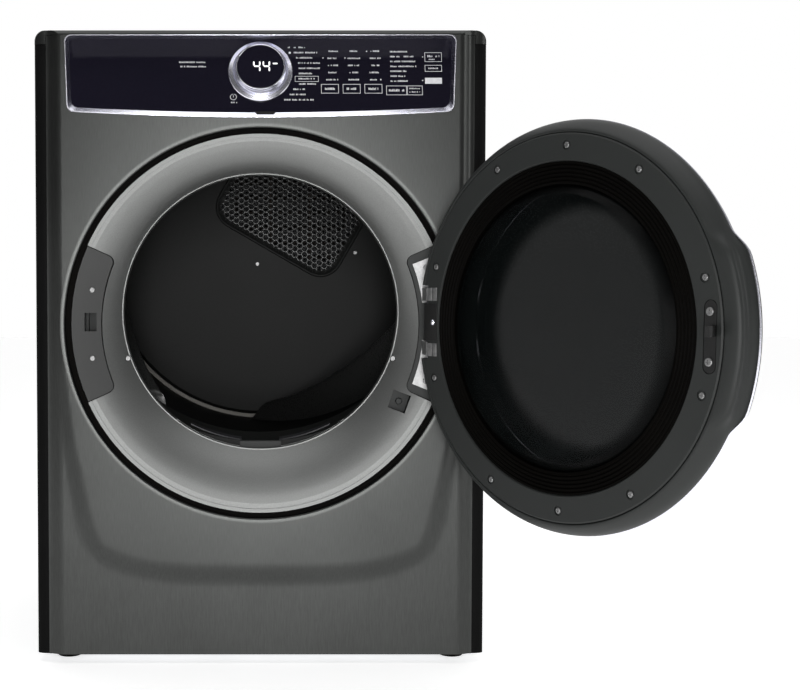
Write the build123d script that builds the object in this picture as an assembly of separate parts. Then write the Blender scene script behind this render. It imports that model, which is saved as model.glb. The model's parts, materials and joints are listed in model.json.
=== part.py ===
from build123d import *
import math
import os

os.makedirs("parts", exist_ok=True)

# A front-loading clothes dryer. X to the right, Y away from the person in front of it, Z up.
# The origin is on the floor under the middle of the cabinet. All sizes in mm.

# ---- cabinet ----
WIDTH = 686.0
HEIGHT = 965.0
FRONT_Y = -360.0  # the raised front round the door
SKIRT_Y = -350.0  # the flat of the front below and beside it
BACK_Y = 360.0
SHEET = 1.2
BASE_Z = 14.0
CORNER_X = 18.0  # the flattened round of the front corners: across
CORNER_Y = 8.0  # and deep
PAN_R = 18.0  # the round corners of the base pan
TOP_Z = 945.0  # where the sides end and the top panel begins
PANEL_TOP = 957.0  # where the front panel ends
TOP_SIDE_R = 17.0  # the top panel's rounding along its sides
TOP_FRONT_R = 8.0  # and along its front
PAD_HALF = 316.0  # half width of the raised front at the console

# ---- door opening ----
RING_Z = 521.0
RECESS_R = 296.5
RING_R = 288.0
OPENING_R = 213.0
OPENING_Z = 539.0
OPENING_Y = -312.0
SEGMENT_R = 242.5  # inner radius of the latch and hinge segments
SEGMENT_HALF = 24.5  # their half angle, degrees

DISH_SCREW_X = 205.5
DISH_SCREW_Z = 467.0
DISH_SCREW_Y = OPENING_Y - 4.0
SWITCH_X = 213.0
SWITCH_Z = 402.0
SWITCH_Y = FRONT_Y + 30.0

# ---- drum ----
DRUM_Z = 634.0
DRUM_R = 311.2
DRUM_WALL = 1.2
DRUM_FRONT_Y = -271.0
DRUM_REAR_Y = 243.0
BULKHEAD_FRONT_Y = -290.0
LIP_Y = -251.0  # rear of the front flange, turned in to a lip
LIP_R = 288.0
BULKHEAD_REAR_Y = 250.0
REAR_WALL_Y = 232.0
REAR_WALL_R = 303.0

CHUTE_Y0 = -309.0  # the lint chute, between the dish and the front bulkhead
CHUTE_Y1 = -291.5

# ---- drive ----
MOTOR_X = 84.0
MOTOR_Z = 112.0
SHAFT_R = 6.35
PULLEY_R = 12.0
BELT_Y = 120.0
BELT_WIDTH = 8.0
BELT_THICK = 2.4
IDLER_X = -38.0
IDLER_Z = 175.0
IDLER_R = 25.0
IDLER_PIVOT_X = 20.0
IDLER_PIVOT_Z = 215.0
IDLER_ARM_Y = 102.0
ROLLER_R = 38.0
ROLLER_ANGLE = 40.0
ROLLER_Y = 214.0

# ---- blower and exhaust ----
WHEEL_R = 78.0
WHEEL_Y0 = -232.0
WHEEL_Y1 = -190.0
DUCT_R = 50.8
DUCT_WALL = 1.0
DUCT_X = -60.0
DUCT_Z = 78.0
DUCT_END_Y = 398.0
COLLAR_Y = BACK_Y + 2.0

# ---- door, drawn shut and then swung to where it rests ----
DOOR_R = 275.0
PANEL_R = 256.4
PANEL_IN_R = 220.5
SCREW_R = 240.3
GLASS_R = 189.0
DOOR_FACE_Y = -368.0  # the inside face of the shut door
HINGE_X = 258.4
HINGE_Y = -396.0
OPEN_ANGLE = 125.8
DOOR_CLOCK = 1.1  # the door's fittings sit this much round from the horizontal
PIN_R = 4.0
KNUCKLE_R = 7.5

# ---- back wall of the drum, and the grille in it ----
WALL_SCREWS = ((-6, 626), (186, 648))
GRILLE_X = 58.0
GRILLE_Z = 727.0
GRILLE_LONG = 275.0
GRILLE_TALL = 172.0
GRILLE_TILT = 30.0

# ---- hinge barrels, and the door's screws round its middle, in degrees ----
KNUCKLE_TOP = (557.0, 576.0)
KNUCKLE_LOW = (476.0, 495.0)
SCREW_ANGLES = (86.56, -86.56, 116.75, -116.75, 160.33, -160.33, 16.87, -16.87, 57.06, -57.06)
STRIKER_ANGLES = (7.12, -7.12)

# ---- console: a glass that leans back inside a bright frame set in the upright front ----
LEAN_Z = 836.0  # the foot of the leaning glass
LEAN_Y = FRONT_Y + 1.5
LEAN = 16.0
FRAME_OUT = (291.8, 295.4)  # half width of the frame in the front, low and high
FRAME_LOW_Z = 841.2  # its lower edge at the ends, and in the middle
FRAME_MIDDLE_Z = 833.3
FRAME_TOP_Z = 956.9
FRAME_R = 11.0
GLASS_HALF = (285.6, 293.6)  # half width of the glass, low and high
GLASS_LOW = 13.0  # along the glass from its foot: the ends of its lower edge
GLASS_MIDDLE = 5.0
GLASS_TOP = 126.0
GLASS_CORNER = 10.0
DIAL_U = 0.0
DIAL_V = 72.0
DIAL_R = 49.0

GAP = 0.3


def slab(x0, x1, y0, y1, z0, z1):
    """A box between the given planes."""
    return Pos((x0 + x1) / 2, (y0 + y1) / 2, (z0 + z1) / 2) * Box(x1 - x0, y1 - y0, z1 - z0)


def rod(radius, y0, y1, x=0.0, z=0.0):
    """A round bar along Y."""
    return Pos(x, (y0 + y1) / 2, z) * Rot(90, 0, 0) * Cylinder(radius, y1 - y0)


def tube(outer, inner, y0, y1, x=0.0, z=0.0):
    """A round tube along Y."""
    return rod(outer, y0, y1, x, z) - rod(inner, y0 - 1, y1 + 1, x, z)


def post(radius, z0, z1, x=0.0, y=0.0):
    """A round bar along Z."""
    return Pos(x, y, (z0 + z1) / 2) * Cylinder(radius, z1 - z0)


def turned(points, x=0.0, z=0.0):
    """A solid turned about a line along Y, from (radius, y) points."""
    face = make_face(Polyline(*points, close=True))
    return Pos(x, 0, z) * revolve(face, Axis.Y)


def fuse(solids):
    """Join a list of solids into one."""
    whole = solids[0]
    for solid in solids[1:]:
        whole = whole + solid
    return whole


def polar(radius, degrees):
    """The (x, z) of a point on a circle, 0 degrees to the right, 90 up."""
    return (radius * math.cos(math.radians(degrees)), radius * math.sin(math.radians(degrees)))


def front_face(points, y):
    """A flat face in the XZ plane at the given y, from (x, z) points."""
    return make_face(Polyline(*[(x, y, z) for x, z in points], close=True))


def sector(inner, outer, middle, half, y0, y1, z):
    """A stretch of a flat ring round the Y direction, between two radii."""
    steps = 12
    angles = [middle - half + 2 * half * k / steps for k in range(steps + 1)]
    ring = [polar(outer, a) for a in angles] + [polar(inner, a) for a in reversed(angles)]
    face = front_face(ring, y0)
    return Pos(0, 0, z) * extrude(face, amount=y1 - y0, dir=(0, 1, 0))


def round_inner(blank, inner, middle, half, corner):
    """Round the two corners of a ring sector that are nearest the opening."""
    for turn in (-half, half):
        x, z = polar(inner, middle + turn)
        uprights = blank.edges().filter_by(Axis.Y)
        near = uprights.sort_by(lambda e: (e.center().X - x) ** 2 + (e.center().Z - RING_Z - z) ** 2)[0]
        blank = fillet(near, corner)
    return blank


def screw(x, y, z, head_r=4.2, length=10.0):
    """A pan-head screw along Y with a cross recess; its head faces the front at the given y."""
    head = rod(head_r, y - 2.2, y, x, z)
    head = fillet(head.edges().sort_by(Axis.Y)[0], 1.2)
    shank = rod(head_r * 0.45, y, y + length, x, z)
    cross = slab(x - head_r * 0.55, x + head_r * 0.55, y - 3, y - 1, z - 0.5, z + 0.5)
    cross = cross + slab(x - 0.5, x + 0.5, y - 3, y - 1, z - head_r * 0.55, z + head_r * 0.55)
    return head + shank - cross


def on_console(solid):
    """Move a shape drawn with x across, y up the console and +z out of it onto the leaning glass."""
    return Pos(0, LEAN_Y, LEAN_Z) * Rot(90 - LEAN, 0, 0) * solid


def on_front(shape, y):
    """Move a flat shape drawn with x across and y up onto the upright front at the given depth."""
    return Pos(0, y, 0) * Rot(90, 0, 0) * shape


def save(node, *solids):
    """Write one named piece, or a group of alike pieces, as a STEP file."""
    shape = solids[0] if len(solids) == 1 else Compound(children=list(solids))
    export_step(shape, f"parts/{node}.step")


# ---------------- cabinet ----------------


def plan_edge(inset):
    """The left half of the footprint's front edge, from the middle out to the side."""
    side = -WIDTH / 2 + inset
    turn = side + CORNER_X - inset
    bow = FRONT_Y + 1.5 + inset
    return [
        Line((0, bow), (-PAD_HALF + 14, bow)),
        Spline((-PAD_HALF + 14, bow), (turn, SKIRT_Y + inset), tangents=((-1, 0), (-1, 0))),
        EllipticalCenterArc((turn, SKIRT_Y + CORNER_Y), CORNER_X - inset, CORNER_Y - inset, 180,
        arc_size=90),
        Line((side, SKIRT_Y + CORNER_Y), (side, BACK_Y - inset)),
        Line((side, BACK_Y - inset), (0, BACK_Y - inset)),
        Line((0, BACK_Y - inset), (0, bow)),
    ]


def side_panel(hand):
    """A folded sheet side: flattened round front corner, flanges front and rear."""
    def plan(inset):
        side = -WIDTH / 2 + inset
        front = SKIRT_Y + SHEET + 0.2 + inset
        back = BACK_Y - 2 * SHEET - 0.5 - inset
        turn = -WIDTH / 2 + CORNER_X
        outline = [
            Line((turn + 30, front), (turn, front)),
            EllipticalCenterArc((turn, front + CORNER_Y - inset), CORNER_X - inset, CORNER_Y - inset,
            180, arc_size=90),
            Line((side, front + CORNER_Y - inset), (side, back)),
            Line((side, back), (turn + 30, back)),
            Line((turn + 30, back), (turn + 30, front)),
        ]
        return make_face(outline)
    shell = extrude(plan(0), amount=TOP_Z - BASE_Z) - Pos(0, 0, -5) * extrude(plan(SHEET), amount=1000)
    shell = shell - slab(-WIDTH / 2 + 26, 0, -500, 500, -10, 1200)
    placed = Pos(0, 0, BASE_Z) * shell
    return placed if hand < 0 else mirror(placed, Plane.YZ)


def top_block(inset, low):
    """The solid lid: its footprint, rounded along the sides and along the front."""
    half = make_face(plan_edge(inset))
    plan = half + mirror(half, Plane.YZ)
    upright = Pos(0, 0, low) * extrude(plan, amount=HEIGHT - inset - low)
    side = WIDTH / 2 - inset
    top = HEIGHT - inset
    round_side = TOP_SIDE_R - inset
    across = front_face([(-side, low - 1), (side, low - 1), (side, top), (-side, top)], -500)
    across = extrude(across, amount=1000, dir=(0, 1, 0))
    across = fillet(across.edges().filter_by(Axis.Y).group_by(Axis.Z)[-1], round_side)
    front = FRONT_Y + 1.5 + inset
    along = slab(-500, 500, front, BACK_Y - inset, low - 1, top)
    along = fillet(along.edges().filter_by(Axis.X).group_by(Axis.Z)[-1].sort_by(Axis.Y)[0],
            TOP_FRONT_R - inset)
    return upright & across & along


def top_panel():
    """The lid: a shallow pressed pan with rounded edges; the front panel ends under its front edge."""
    lid = top_block(0, TOP_Z) - top_block(SHEET, TOP_Z - 5)
    return lid - slab(-WIDTH / 2 + CORNER_X - 0.3, WIDTH / 2 - CORNER_X + 0.3, FRONT_Y - 5,
            SKIRT_Y + 12, 900, PANEL_TOP + 0.5)


def pad_face(inset, y):
    """The outline of the raised front, wide above and drawn in towards the skirt."""
    half = PAD_HALF - inset
    points = [(half, 700), (304 - inset, 452), (290.5 - inset, 335), (268 - inset, 220),
            (248 - inset, 172 + inset)]
    right = Spline(*[(x, y, z) for x, z in points])
    left = Spline(*[(-x, y, z) for x, z in reversed(points)])
    bottom = ThreePointArc((248 - inset, y, 172 + inset), (0, y, 137 + inset),
            (-248 + inset, y, 172 + inset))
    rise = Line((-half, y, 700), (-half, y, PANEL_TOP))
    top = Line((-half, y, PANEL_TOP), (half, y, PANEL_TOP))
    fall = Line((half, y, PANEL_TOP), (half, y, 700))
    return make_face([right, bottom, left, rise, top, fall])


def front_panel():
    """The pressed front: a flat skirt, raised round the door and up to the console's opening."""
    flat = slab(-324.5, 324.5, SKIRT_Y, SKIRT_Y + SHEET, BASE_Z, PANEL_TOP)
    pad = extrude(pad_face(0, SKIRT_Y), amount=SKIRT_Y - FRONT_Y, dir=(0, -1, 0))
    crown = pad.edges().filter_by(lambda e: e.center().Y < FRONT_Y + 0.1 and e.center().Z < PANEL_TOP - 1)
    pad = fillet(crown, 6)
    core = extrude(pad_face(SHEET, SKIRT_Y + SHEET), amount=SKIRT_Y - FRONT_Y, dir=(0, -1, 0))
    hole = rod(RECESS_R, FRONT_Y - 5, SKIRT_Y + 10, 0, RING_Z)
    rim = tube(RECESS_R + SHEET, RECESS_R, FRONT_Y + 1, FRONT_Y + 30, 0, RING_Z)
    window = extrude(on_front(frame_outline(0.3), FRONT_Y - 20), amount=60, dir=(0, 1, 0))
    return flat + pad - core - hole + rim - window


def recess_ring():
    """The dark ring that lines the gap between the front panel and the dished ring."""
    return tube(RECESS_R - GAP, RING_R + GAP, FRONT_Y + 7, FRONT_Y + 16, 0, RING_Z)


def funnel(y_shift):
    """The solid that fills the dish from the ring plane to the opening."""
    near = Plane((0, FRONT_Y + 3 + y_shift, RING_Z), x_dir=(1, 0, 0), z_dir=(0, 1, 0)) * Circle(RING_R - 4)
    middle_z = (RING_Z * 2 + OPENING_Z) / 3
    middle_r = (RING_R + OPENING_R) / 2 + 3
    middle = Plane((0, FRONT_Y + 14 + y_shift, middle_z), x_dir=(1, 0, 0),
            z_dir=(0, 1, 0)) * Circle(middle_r)
    far = Plane((0, OPENING_Y + y_shift, OPENING_Z), x_dir=(1, 0, 0),
            z_dir=(0, 1, 0)) * Circle(OPENING_R + 1)
    return loft([near, middle, far])


def door_ring():
    """The dished ring the shut door sits in, with a collar into the drum and two cut segments."""
    rim = tube(RING_R, RING_R - 5.5, FRONT_Y + 3, FRONT_Y + 22, 0, RING_Z)
    dish = funnel(2) - funnel(0) - rod(OPENING_R, OPENING_Y - 4, OPENING_Y + 20, 0, OPENING_Z)
    collar = tube(OPENING_R + 2, OPENING_R, OPENING_Y - 0.7, BULKHEAD_FRONT_Y, 0, OPENING_Z)
    ring = rim + dish + collar
    for middle in (0, 180):
        cut = sector(SEGMENT_R, RING_R + 1, middle, SEGMENT_HALF, FRONT_Y - 2, OPENING_Y, RING_Z)
        ring = ring - round_inner(cut, SEGMENT_R, middle, SEGMENT_HALF, 12)
    for x in (-DISH_SCREW_X, DISH_SCREW_X):
        ring = ring - rod(2.2, FRONT_Y, OPENING_Y + 10, x, DISH_SCREW_Z)
        ring = ring - rod(4.5, FRONT_Y, DISH_SCREW_Y, x, DISH_SCREW_Z)
    return ring - chute_cut() - Pos(SWITCH_X, 0, SWITCH_Z) * Rot(0, 20, 0) * slab(-13.2, 13.2,
            FRONT_Y, -300, -14.2, 14.2)


def segment_plate(middle, y_out, y_in, gap, thick):
    """A plate that fills one of the cut segments; its face slopes with the dish."""
    half = SEGMENT_HALF - 0.25
    blank = sector(SEGMENT_R + gap, RING_R - gap, middle, half, FRONT_Y - 2, OPENING_Y, RING_Z)
    blank = round_inner(blank, SEGMENT_R + gap, middle, half, 11)
    outer = Pos(0, 0, RING_Z) * revolve(make_face(Polyline(
        (SEGMENT_R - 5, y_in), (RING_R + 5, y_out), (RING_R + 5, y_out + thick),
        (SEGMENT_R - 5, y_in + thick),
        close=True)), Axis.Y)
    return blank & outer


def latch_plate():
    """The titanium cover segment with the latch slot and two screw holes."""
    plate = segment_plate(180, FRONT_Y + 2, FRONT_Y + 15, 0.8, 3)
    slot = slab(-268, -250, FRONT_Y - 5, OPENING_Y, 510, 538)
    holes = rod(2.4, FRONT_Y - 5, OPENING_Y, -256, RING_Z + 52) + rod(2.4, FRONT_Y - 5, OPENING_Y,
            -256, RING_Z - 52)
    return plate - slot - holes


def latch_receptacle():
    """The spring-catch box behind the slot; the door's hook goes in between its two jaws."""
    box = slab(-272, -246, FRONT_Y + 18.5, FRONT_Y + 44, 500, 548)
    hollow = slab(-268, -250, FRONT_Y + 10, FRONT_Y + 40, 510, 538)
    jaws = slab(-268, -264, FRONT_Y + 30, FRONT_Y + 40, 510, 538) + slab(-254, -250, FRONT_Y + 30,
            FRONT_Y + 40, 510, 538)
    return box - hollow + jaws


def hinge_pocket():
    """The dark moulded pocket that carries the hinge plates on the right of the dish."""
    return segment_plate(0, FRONT_Y + 8, FRONT_Y + 18, 0.8, 4) - hinge_screw_holes()


def cabinet_screws():
    """The pan-head screws of the latch plate, the dish and the drum's back wall."""
    spots = [(-256, FRONT_Y + 8.0, RING_Z + 52), (-256, FRONT_Y + 8.0, RING_Z - 52)]
    spots += [(-DISH_SCREW_X, DISH_SCREW_Y, DISH_SCREW_Z), (DISH_SCREW_X, DISH_SCREW_Y, DISH_SCREW_Z)]
    spots += [(x, REAR_WALL_Y, z) for x, z in WALL_SCREWS]
    return [screw(x, y, z) for x, y, z in spots]


def base_pan():
    """The floor pan with upturned edges."""
    outer = slab(-341, 341, SKIRT_Y + 4, BACK_Y - 5, BASE_Z, BASE_Z + 30)
    outer = fillet(outer.edges().filter_by(Axis.Z), PAN_R)
    inner = slab(-341 + SHEET, 341 - SHEET, SKIRT_Y + 4 + SHEET, BACK_Y - 5 - SHEET, BASE_Z + SHEET,
            BASE_Z + 40)
    inner = fillet(inner.edges().filter_by(Axis.Z), PAN_R - SHEET)
    return outer - inner - rod(DUCT_R + 2, BACK_Y - 20, BACK_Y, DUCT_X, DUCT_Z)


def levelling_feet():
    """Four threaded feet with round rubber pads."""
    feet = []
    for x in (-300, 300):
        for y in (-300, 300):
            pad = post(18, 0, 9, x, y)
            stem = post(5, 9, BASE_Z, x, y)
            feet.append(pad + stem)
    return feet


def rear_panel():
    """The back sheet with the exhaust hole, cooling slots and the terminal opening."""
    sheet = slab(-340, 340, BACK_Y - SHEET, BACK_Y, BASE_Z + 2, TOP_Z - 1)
    holes = rod(DUCT_R + 2, BACK_Y - 9, BACK_Y + 9, DUCT_X, DUCT_Z)
    for side in (-1, 1):
        for k in range(9):
            z = 200 + 16 * k
            holes = holes + slab(side * 240 - 45, side * 240 + 45, BACK_Y - 9, BACK_Y + 9, z, z + 5)
    holes = holes + slab(175, 255, BACK_Y - 9, BACK_Y + 9, 60, 120)
    return sheet - holes


def terminal_cover():
    """The small cover over the mains terminals, with an empty cord hole in its underside."""
    outer = slab(165, 265, BACK_Y + 0.2, BACK_Y + 18, 50, 130)
    outer = fillet(outer.edges().filter_by(lambda e: e.center().Y > BACK_Y + 17), 4)
    inner = slab(167, 263, BACK_Y - 1, BACK_Y + 16, 52, 128)
    return outer - inner - post(11, 40, 60, 215, BACK_Y + 7)


# ---------------- console ----------------


def bowed_outline(low_half, high_half, low, middle, high, corner):
    """A flat shape: straight top, slanted sides, gently bowed bottom, rounded corners."""
    slant = (high_half - low_half) / (high - low)
    x_low = low_half + slant * corner
    x_high = high_half - slant * corner
    near = 0.29 * corner
    edge = [
        Line((-x_low, low + corner), (-x_high, high - corner)),
        ThreePointArc((-x_high, high - corner), (-high_half + near, high - near),
        (-high_half + corner, high)),
        Line((-high_half + corner, high), (high_half - corner, high)),
        ThreePointArc((high_half - corner, high), (high_half - near, high - near), (x_high, high - corner)),
        Line((x_high, high - corner), (x_low, low + corner)),
        ThreePointArc((x_low, low + corner), (low_half - near, low + near), (low_half - corner, low)),
        ThreePointArc((low_half - corner, low), (0, middle), (-low_half + corner, low)),
        ThreePointArc((-low_half + corner, low), (-low_half + near, low + near), (-x_low, low + corner)),
    ]
    return make_face(edge)


def frame_outline(grow):
    """The console frame's outline in the front, measured up from the floor."""
    low_half, high_half = FRAME_OUT
    low = FRAME_LOW_Z - grow
    return bowed_outline(low_half + grow, high_half + grow, low, FRAME_MIDDLE_Z - grow,
            FRAME_TOP_Z + grow, FRAME_R)


def glass_outline(grow):
    """The clear shape of the glass, measured up the leaning face."""
    low_half, high_half = GLASS_HALF
    low = GLASS_LOW - grow
    return bowed_outline(low_half + grow, high_half + grow, low, GLASS_MIDDLE - grow,
            GLASS_TOP + grow, GLASS_CORNER)


def frame_solid(front_grow, back_grow, front_y, back_z):
    """The solid between the frame's outline in the front and the glass's outline on the lean."""
    near = on_front(frame_outline(front_grow), front_y)
    far = on_console(Pos(0, 0, back_z) * glass_outline(back_grow))
    return loft([near, far], ruled=True)


def console_trim():
    """The bright frame: its walls run from the upright front back to the leaning glass."""
    outer = frame_solid(0, 2.0, FRONT_Y - 1.2, 0)
    inner = frame_solid(-1.4, 0, FRONT_Y - 1.21, -0.01)
    return outer - inner


def dial_place(solid):
    """Put a solid drawn about the Z direction on the console at the dial."""
    return on_console(Pos(DIAL_U, DIAL_V, 0) * solid)


def console_face():
    """The dark glass of the console behind its frame, bored for the dial's post."""
    glass = extrude(glass_outline(1.5), amount=3) - Pos(DIAL_U, DIAL_V, 0) * Cylinder(30, 20)
    return on_console(Pos(0, 0, -3.3) * glass)


def console_housing():
    """The moulded tray behind the glass."""
    outer = slab(-284, 284, 14, 118, -32, -3.6)
    inner = slab(-281, 281, 17, 115, -41, -6.6)
    bore = Pos(DIAL_U, DIAL_V, 0) * Cylinder(24, 60)
    return on_console(outer - inner - bore)


def control_board():
    """The circuit board behind the console with its larger parts."""
    board = slab(-30, 270, 22, 104, -18, -16.4)
    parts = slab(60, 90, 35, 60, -28, -18) + slab(120, 150, 40, 75, -24, -18) + slab(200, 245, 50,
            90, -30, -18)
    return on_console(board + parts)


def dial_ring():
    """The turning programme dial: a low outer ring and a tapering knob round the display."""
    profile = [
        (36, 0.4), (DIAL_R, 0.4), (DIAL_R, 2.0), (47.8, 3.6), (42.6, 5.0), (41.6, 4.6), (41.2, 3.4),
        (40.4, 4.8),
        (38.4, 12.0), (37.6, 17.4), (36.8, 18.6), (35.8, 18.6), (35.3, 18.0), (35.3, 4.0), (36, 3.0),
    ]
    face = make_face(Polyline(*[(r, 0, z) for r, z in profile], close=True))
    return dial_place(revolve(face, Axis.Z))


def display_disc():
    """The fixed display in the middle of the dial, on its hollow post."""
    disc = Pos(0, 0, 11.1) * Cylinder(35, 14)
    disc = fillet(disc.edges().filter_by(GeomType.CIRCLE).sort_by(Axis.Z)[-1], 0.8)
    stem = Pos(0, 0, -2.5) * Cylinder(23.5, 14)
    return dial_place(disc + stem)


# ---------------- drum bay ----------------


def mouth_funnel(grow):
    """The solid inside the widening from the opening to the drum's front flange."""
    near = Plane((0, BULKHEAD_FRONT_Y, OPENING_Z), x_dir=(1, 0, 0),
            z_dir=(0, 1, 0)) * Circle(OPENING_R + grow)
    far = Plane((0, LIP_Y, DRUM_Z), x_dir=(1, 0, 0), z_dir=(0, 1, 0)) * Circle(LIP_R + grow)
    return loft([near, far], ruled=True)


def front_bulkhead():
    """The upright sheet behind the dish: widens from the opening to the flange the drum runs on."""
    sheet = slab(-336, 336, BULKHEAD_FRONT_Y, BULKHEAD_FRONT_Y + SHEET, 290, 940)
    sheet = sheet - rod(299, BULKHEAD_FRONT_Y - 5, BULKHEAD_FRONT_Y + 5, 0, DRUM_Z)
    flange = tube(300.5, 299, BULKHEAD_FRONT_Y, LIP_Y, 0, DRUM_Z) - mouth_funnel(0)
    lip = tube(300.5, LIP_R, LIP_Y - SHEET, LIP_Y, 0, DRUM_Z)
    return sheet + flange + lip + (mouth_funnel(SHEET) - mouth_funnel(0))


def front_felt():
    """The felt band between the front flange and the drum."""
    return tube(DRUM_R - DRUM_WALL - GAP, 300.8, DRUM_FRONT_Y + 1, LIP_Y - 5, 0, DRUM_Z)


def rear_felt():
    """The felt band between the back wall and the drum."""
    return tube(DRUM_R - DRUM_WALL - GAP, REAR_WALL_R + 0.2, REAR_WALL_Y + 1, REAR_WALL_Y + 10, 0, DRUM_Z)


def chute_cut():
    """The opening in the collar that the lint filter drops through."""
    return slab(-131, 131, CHUTE_Y0 + 1.5, CHUTE_Y1 - 1.5, 200, 420)


def lint_duct():
    """The lint trap housing: a flat chute under the opening that deepens towards the blower."""
    chute = slab(-135, 135, CHUTE_Y0, CHUTE_Y1, 120, 322)
    chest = slab(-135, 135, CHUTE_Y0, WHEEL_Y0 - 8, 60, 286)
    body = chute + chest
    body = body - slab(-132, 132, CHUTE_Y0 + 1.5, CHUTE_Y1 - 1.5, 100, 340)
    body = body - slab(-132, 132, CHUTE_Y0 + 1.5, WHEEL_Y0 - 9.5, 61.5, 284.5)
    neck = rod(50, WHEEL_Y0 - 9, WHEEL_Y0 - 4.2, MOTOR_X, MOTOR_Z)
    return body + neck - rod(46, WHEEL_Y0 - 15, WHEEL_Y0, MOTOR_X, MOTOR_Z)


def lint_filter():
    """The pull-out frame of the lint filter with its finger grip, curved to the collar above."""
    y0 = CHUTE_Y0 + 2.5
    y1 = CHUTE_Y1 - 2.5
    frame = slab(-129, 129, y0, y1, 150, 420) & rod(420, y0, y1, 0, 570)
    frame = frame - rod(OPENING_R + 0.5, y0 - 5, y1 + 5, 0, OPENING_Z)
    window = slab(-120, 120, y0 - 5, y1 + 5, 158, 300)
    rib = slab(-3, 3, y0 + 3, y1 - 3, 154, 305)
    grip = slab(-32, 32, y0 + 3, y1 - 3, 318, 338)
    grip = fillet(grip.edges().group_by(Axis.Z)[-1], 2)
    return frame - window + rib + grip


def lint_screen():
    """The fine mesh of the lint filter, as a sheet each side of the middle rib."""
    y = (CHUTE_Y0 + CHUTE_Y1) / 2
    left = slab(-119.8, -3.2, y - 0.4, y + 0.4, 158.2, 299.8)
    right = slab(3.2, 119.8, y - 0.4, y + 0.4, 158.2, 299.8)
    return [left, right]


def moisture_bars():
    """The two bright strips that feel how damp the load is, low on the widening mouth."""
    strips = []
    for x0, x1 in ((-110, -30), (30, 110)):
        block = slab(x0, x1, -276, -269, 320, 400)
        strips.append(block & (mouth_funnel(-0.15) - mouth_funnel(-2)))
    return strips


def drum_shell():
    """The turning drum: a long cylinder with rolled beads."""
    wall = tube(DRUM_R, DRUM_R - DRUM_WALL, DRUM_FRONT_Y, DRUM_REAR_Y, 0, DRUM_Z)
    for y in (-225, 60, 180):
        bead = turned([(DRUM_R - 0.5, y - 5), (DRUM_R + 1.6, y - 2), (DRUM_R + 1.6, y + 2),
                (DRUM_R - 0.5, y + 5)], 0, DRUM_Z)
        wall = wall + bead
    return wall


def drum_vane(start):
    """One lifting vane: a ridge that climbs round the drum wall from back to front."""
    stations = 7
    y_back = REAR_WALL_Y - 30
    y_front = BULKHEAD_FRONT_Y + 55
    turn = 82.0
    sections = []
    for k in range(stations):
        t = k / (stations - 1)
        angle = start + turn * t
        height = 16 + 46 * math.sin(math.pi * (0.12 + 0.76 * t))
        foot = 4 + 6.0 * math.sin(math.pi * (0.12 + 0.76 * t))
        reach = DRUM_R - DRUM_WALL - 0.02
        y = y_back + (y_front - y_back) * t
        ring = [polar(reach, angle - foot), polar(reach - height * 0.8, angle - 2),
                polar(reach - height, angle)]
        ring += [polar(reach - height * 0.8, angle + 2), polar(reach, angle + foot)]
        sections.append(make_face(Polyline(*[(x, y, z) for x, z in ring], close=True)))
    return Pos(0, 0, DRUM_Z) * loft(sections, ruled=True)


def rear_bulkhead():
    """The fixed back wall of the drum: a shallow cup in an upright sheet, cut for the air grille."""
    cup = turned([
        (0, REAR_WALL_Y), (REAR_WALL_R - 6, REAR_WALL_Y), (REAR_WALL_R, REAR_WALL_Y + 6),
        (REAR_WALL_R, BULKHEAD_REAR_Y),
        (REAR_WALL_R - SHEET, BULKHEAD_REAR_Y), (REAR_WALL_R - SHEET, REAR_WALL_Y + 7),
        (REAR_WALL_R - 7, REAR_WALL_Y + SHEET), (0, REAR_WALL_Y + SHEET),
    ], 0, DRUM_Z)
    sheet = slab(-336, 336, BULKHEAD_REAR_Y, BULKHEAD_REAR_Y + SHEET, 290, 943)
    sheet = sheet - rod(REAR_WALL_R - SHEET, BULKHEAD_REAR_Y - 5, BULKHEAD_REAR_Y + 5, 0, DRUM_Z)
    vent = extrude(grille_outline(-12), amount=60, both=True)
    for x, z in WALL_SCREWS:
        vent = vent + rod(2.2, REAR_WALL_Y - 5, REAR_WALL_Y + 5, x, z)
    return cup + sheet - vent


def grille_plane():
    """The grille's own plane on the back wall, tilted clockwise."""
    along = (math.cos(math.radians(GRILLE_TILT)), 0, -math.sin(math.radians(GRILLE_TILT)))
    return Plane((GRILLE_X, REAR_WALL_Y, GRILLE_Z), x_dir=along, z_dir=(0, -1, 0))


def grille_outline(grow):
    """The grille's rounded shape."""
    return grille_plane() * RectangleRounded(GRILLE_LONG + 2 * grow, GRILLE_TALL + 2 * grow, 45 + grow)


def inlet_grille():
    """The pierced plate that hot air enters the drum through."""
    pitch = 13.0
    rows = 12
    columns = 19
    spots = []
    for row in range(rows):
        for column in range(columns):
            u = (column - (columns - 1) / 2 + (row % 2) / 2 - 0.25) * pitch
            v = (row - (rows - 1) / 2) * pitch * math.sin(math.radians(60))
            across = max(0.0, abs(u) - (GRILLE_LONG / 2 - 45))
            up = max(0.0, abs(v) - (GRILLE_TALL / 2 - 45))
            if math.hypot(across, up) < 34:
                spots.append((u, v))
    holes = Locations(*spots)
    face = RectangleRounded(GRILLE_LONG, GRILLE_TALL, 45) - [loc * Circle(4.3) for loc in holes]
    plate = extrude(grille_plane() * face, amount=1.2)
    rim = extrude(grille_outline(0), amount=3) - extrude(grille_outline(-5), amount=3)
    return plate + rim


def heater_box():
    """The sheet duct behind the back wall that holds the element, open towards the grille."""
    outer = slab(-85, 205, BULKHEAD_REAR_Y + SHEET, BACK_Y - 30, 610, 850)
    inner = slab(-82, 202, BULKHEAD_REAR_Y - 5, BACK_Y - 33, 613, 847)
    inlets = slab(-70, -20, BACK_Y - 45, BACK_Y - 20, 620, 640) + slab(140, 190, BACK_Y - 45,
            BACK_Y - 20, 620, 640)
    return outer - inner - inlets


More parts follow.
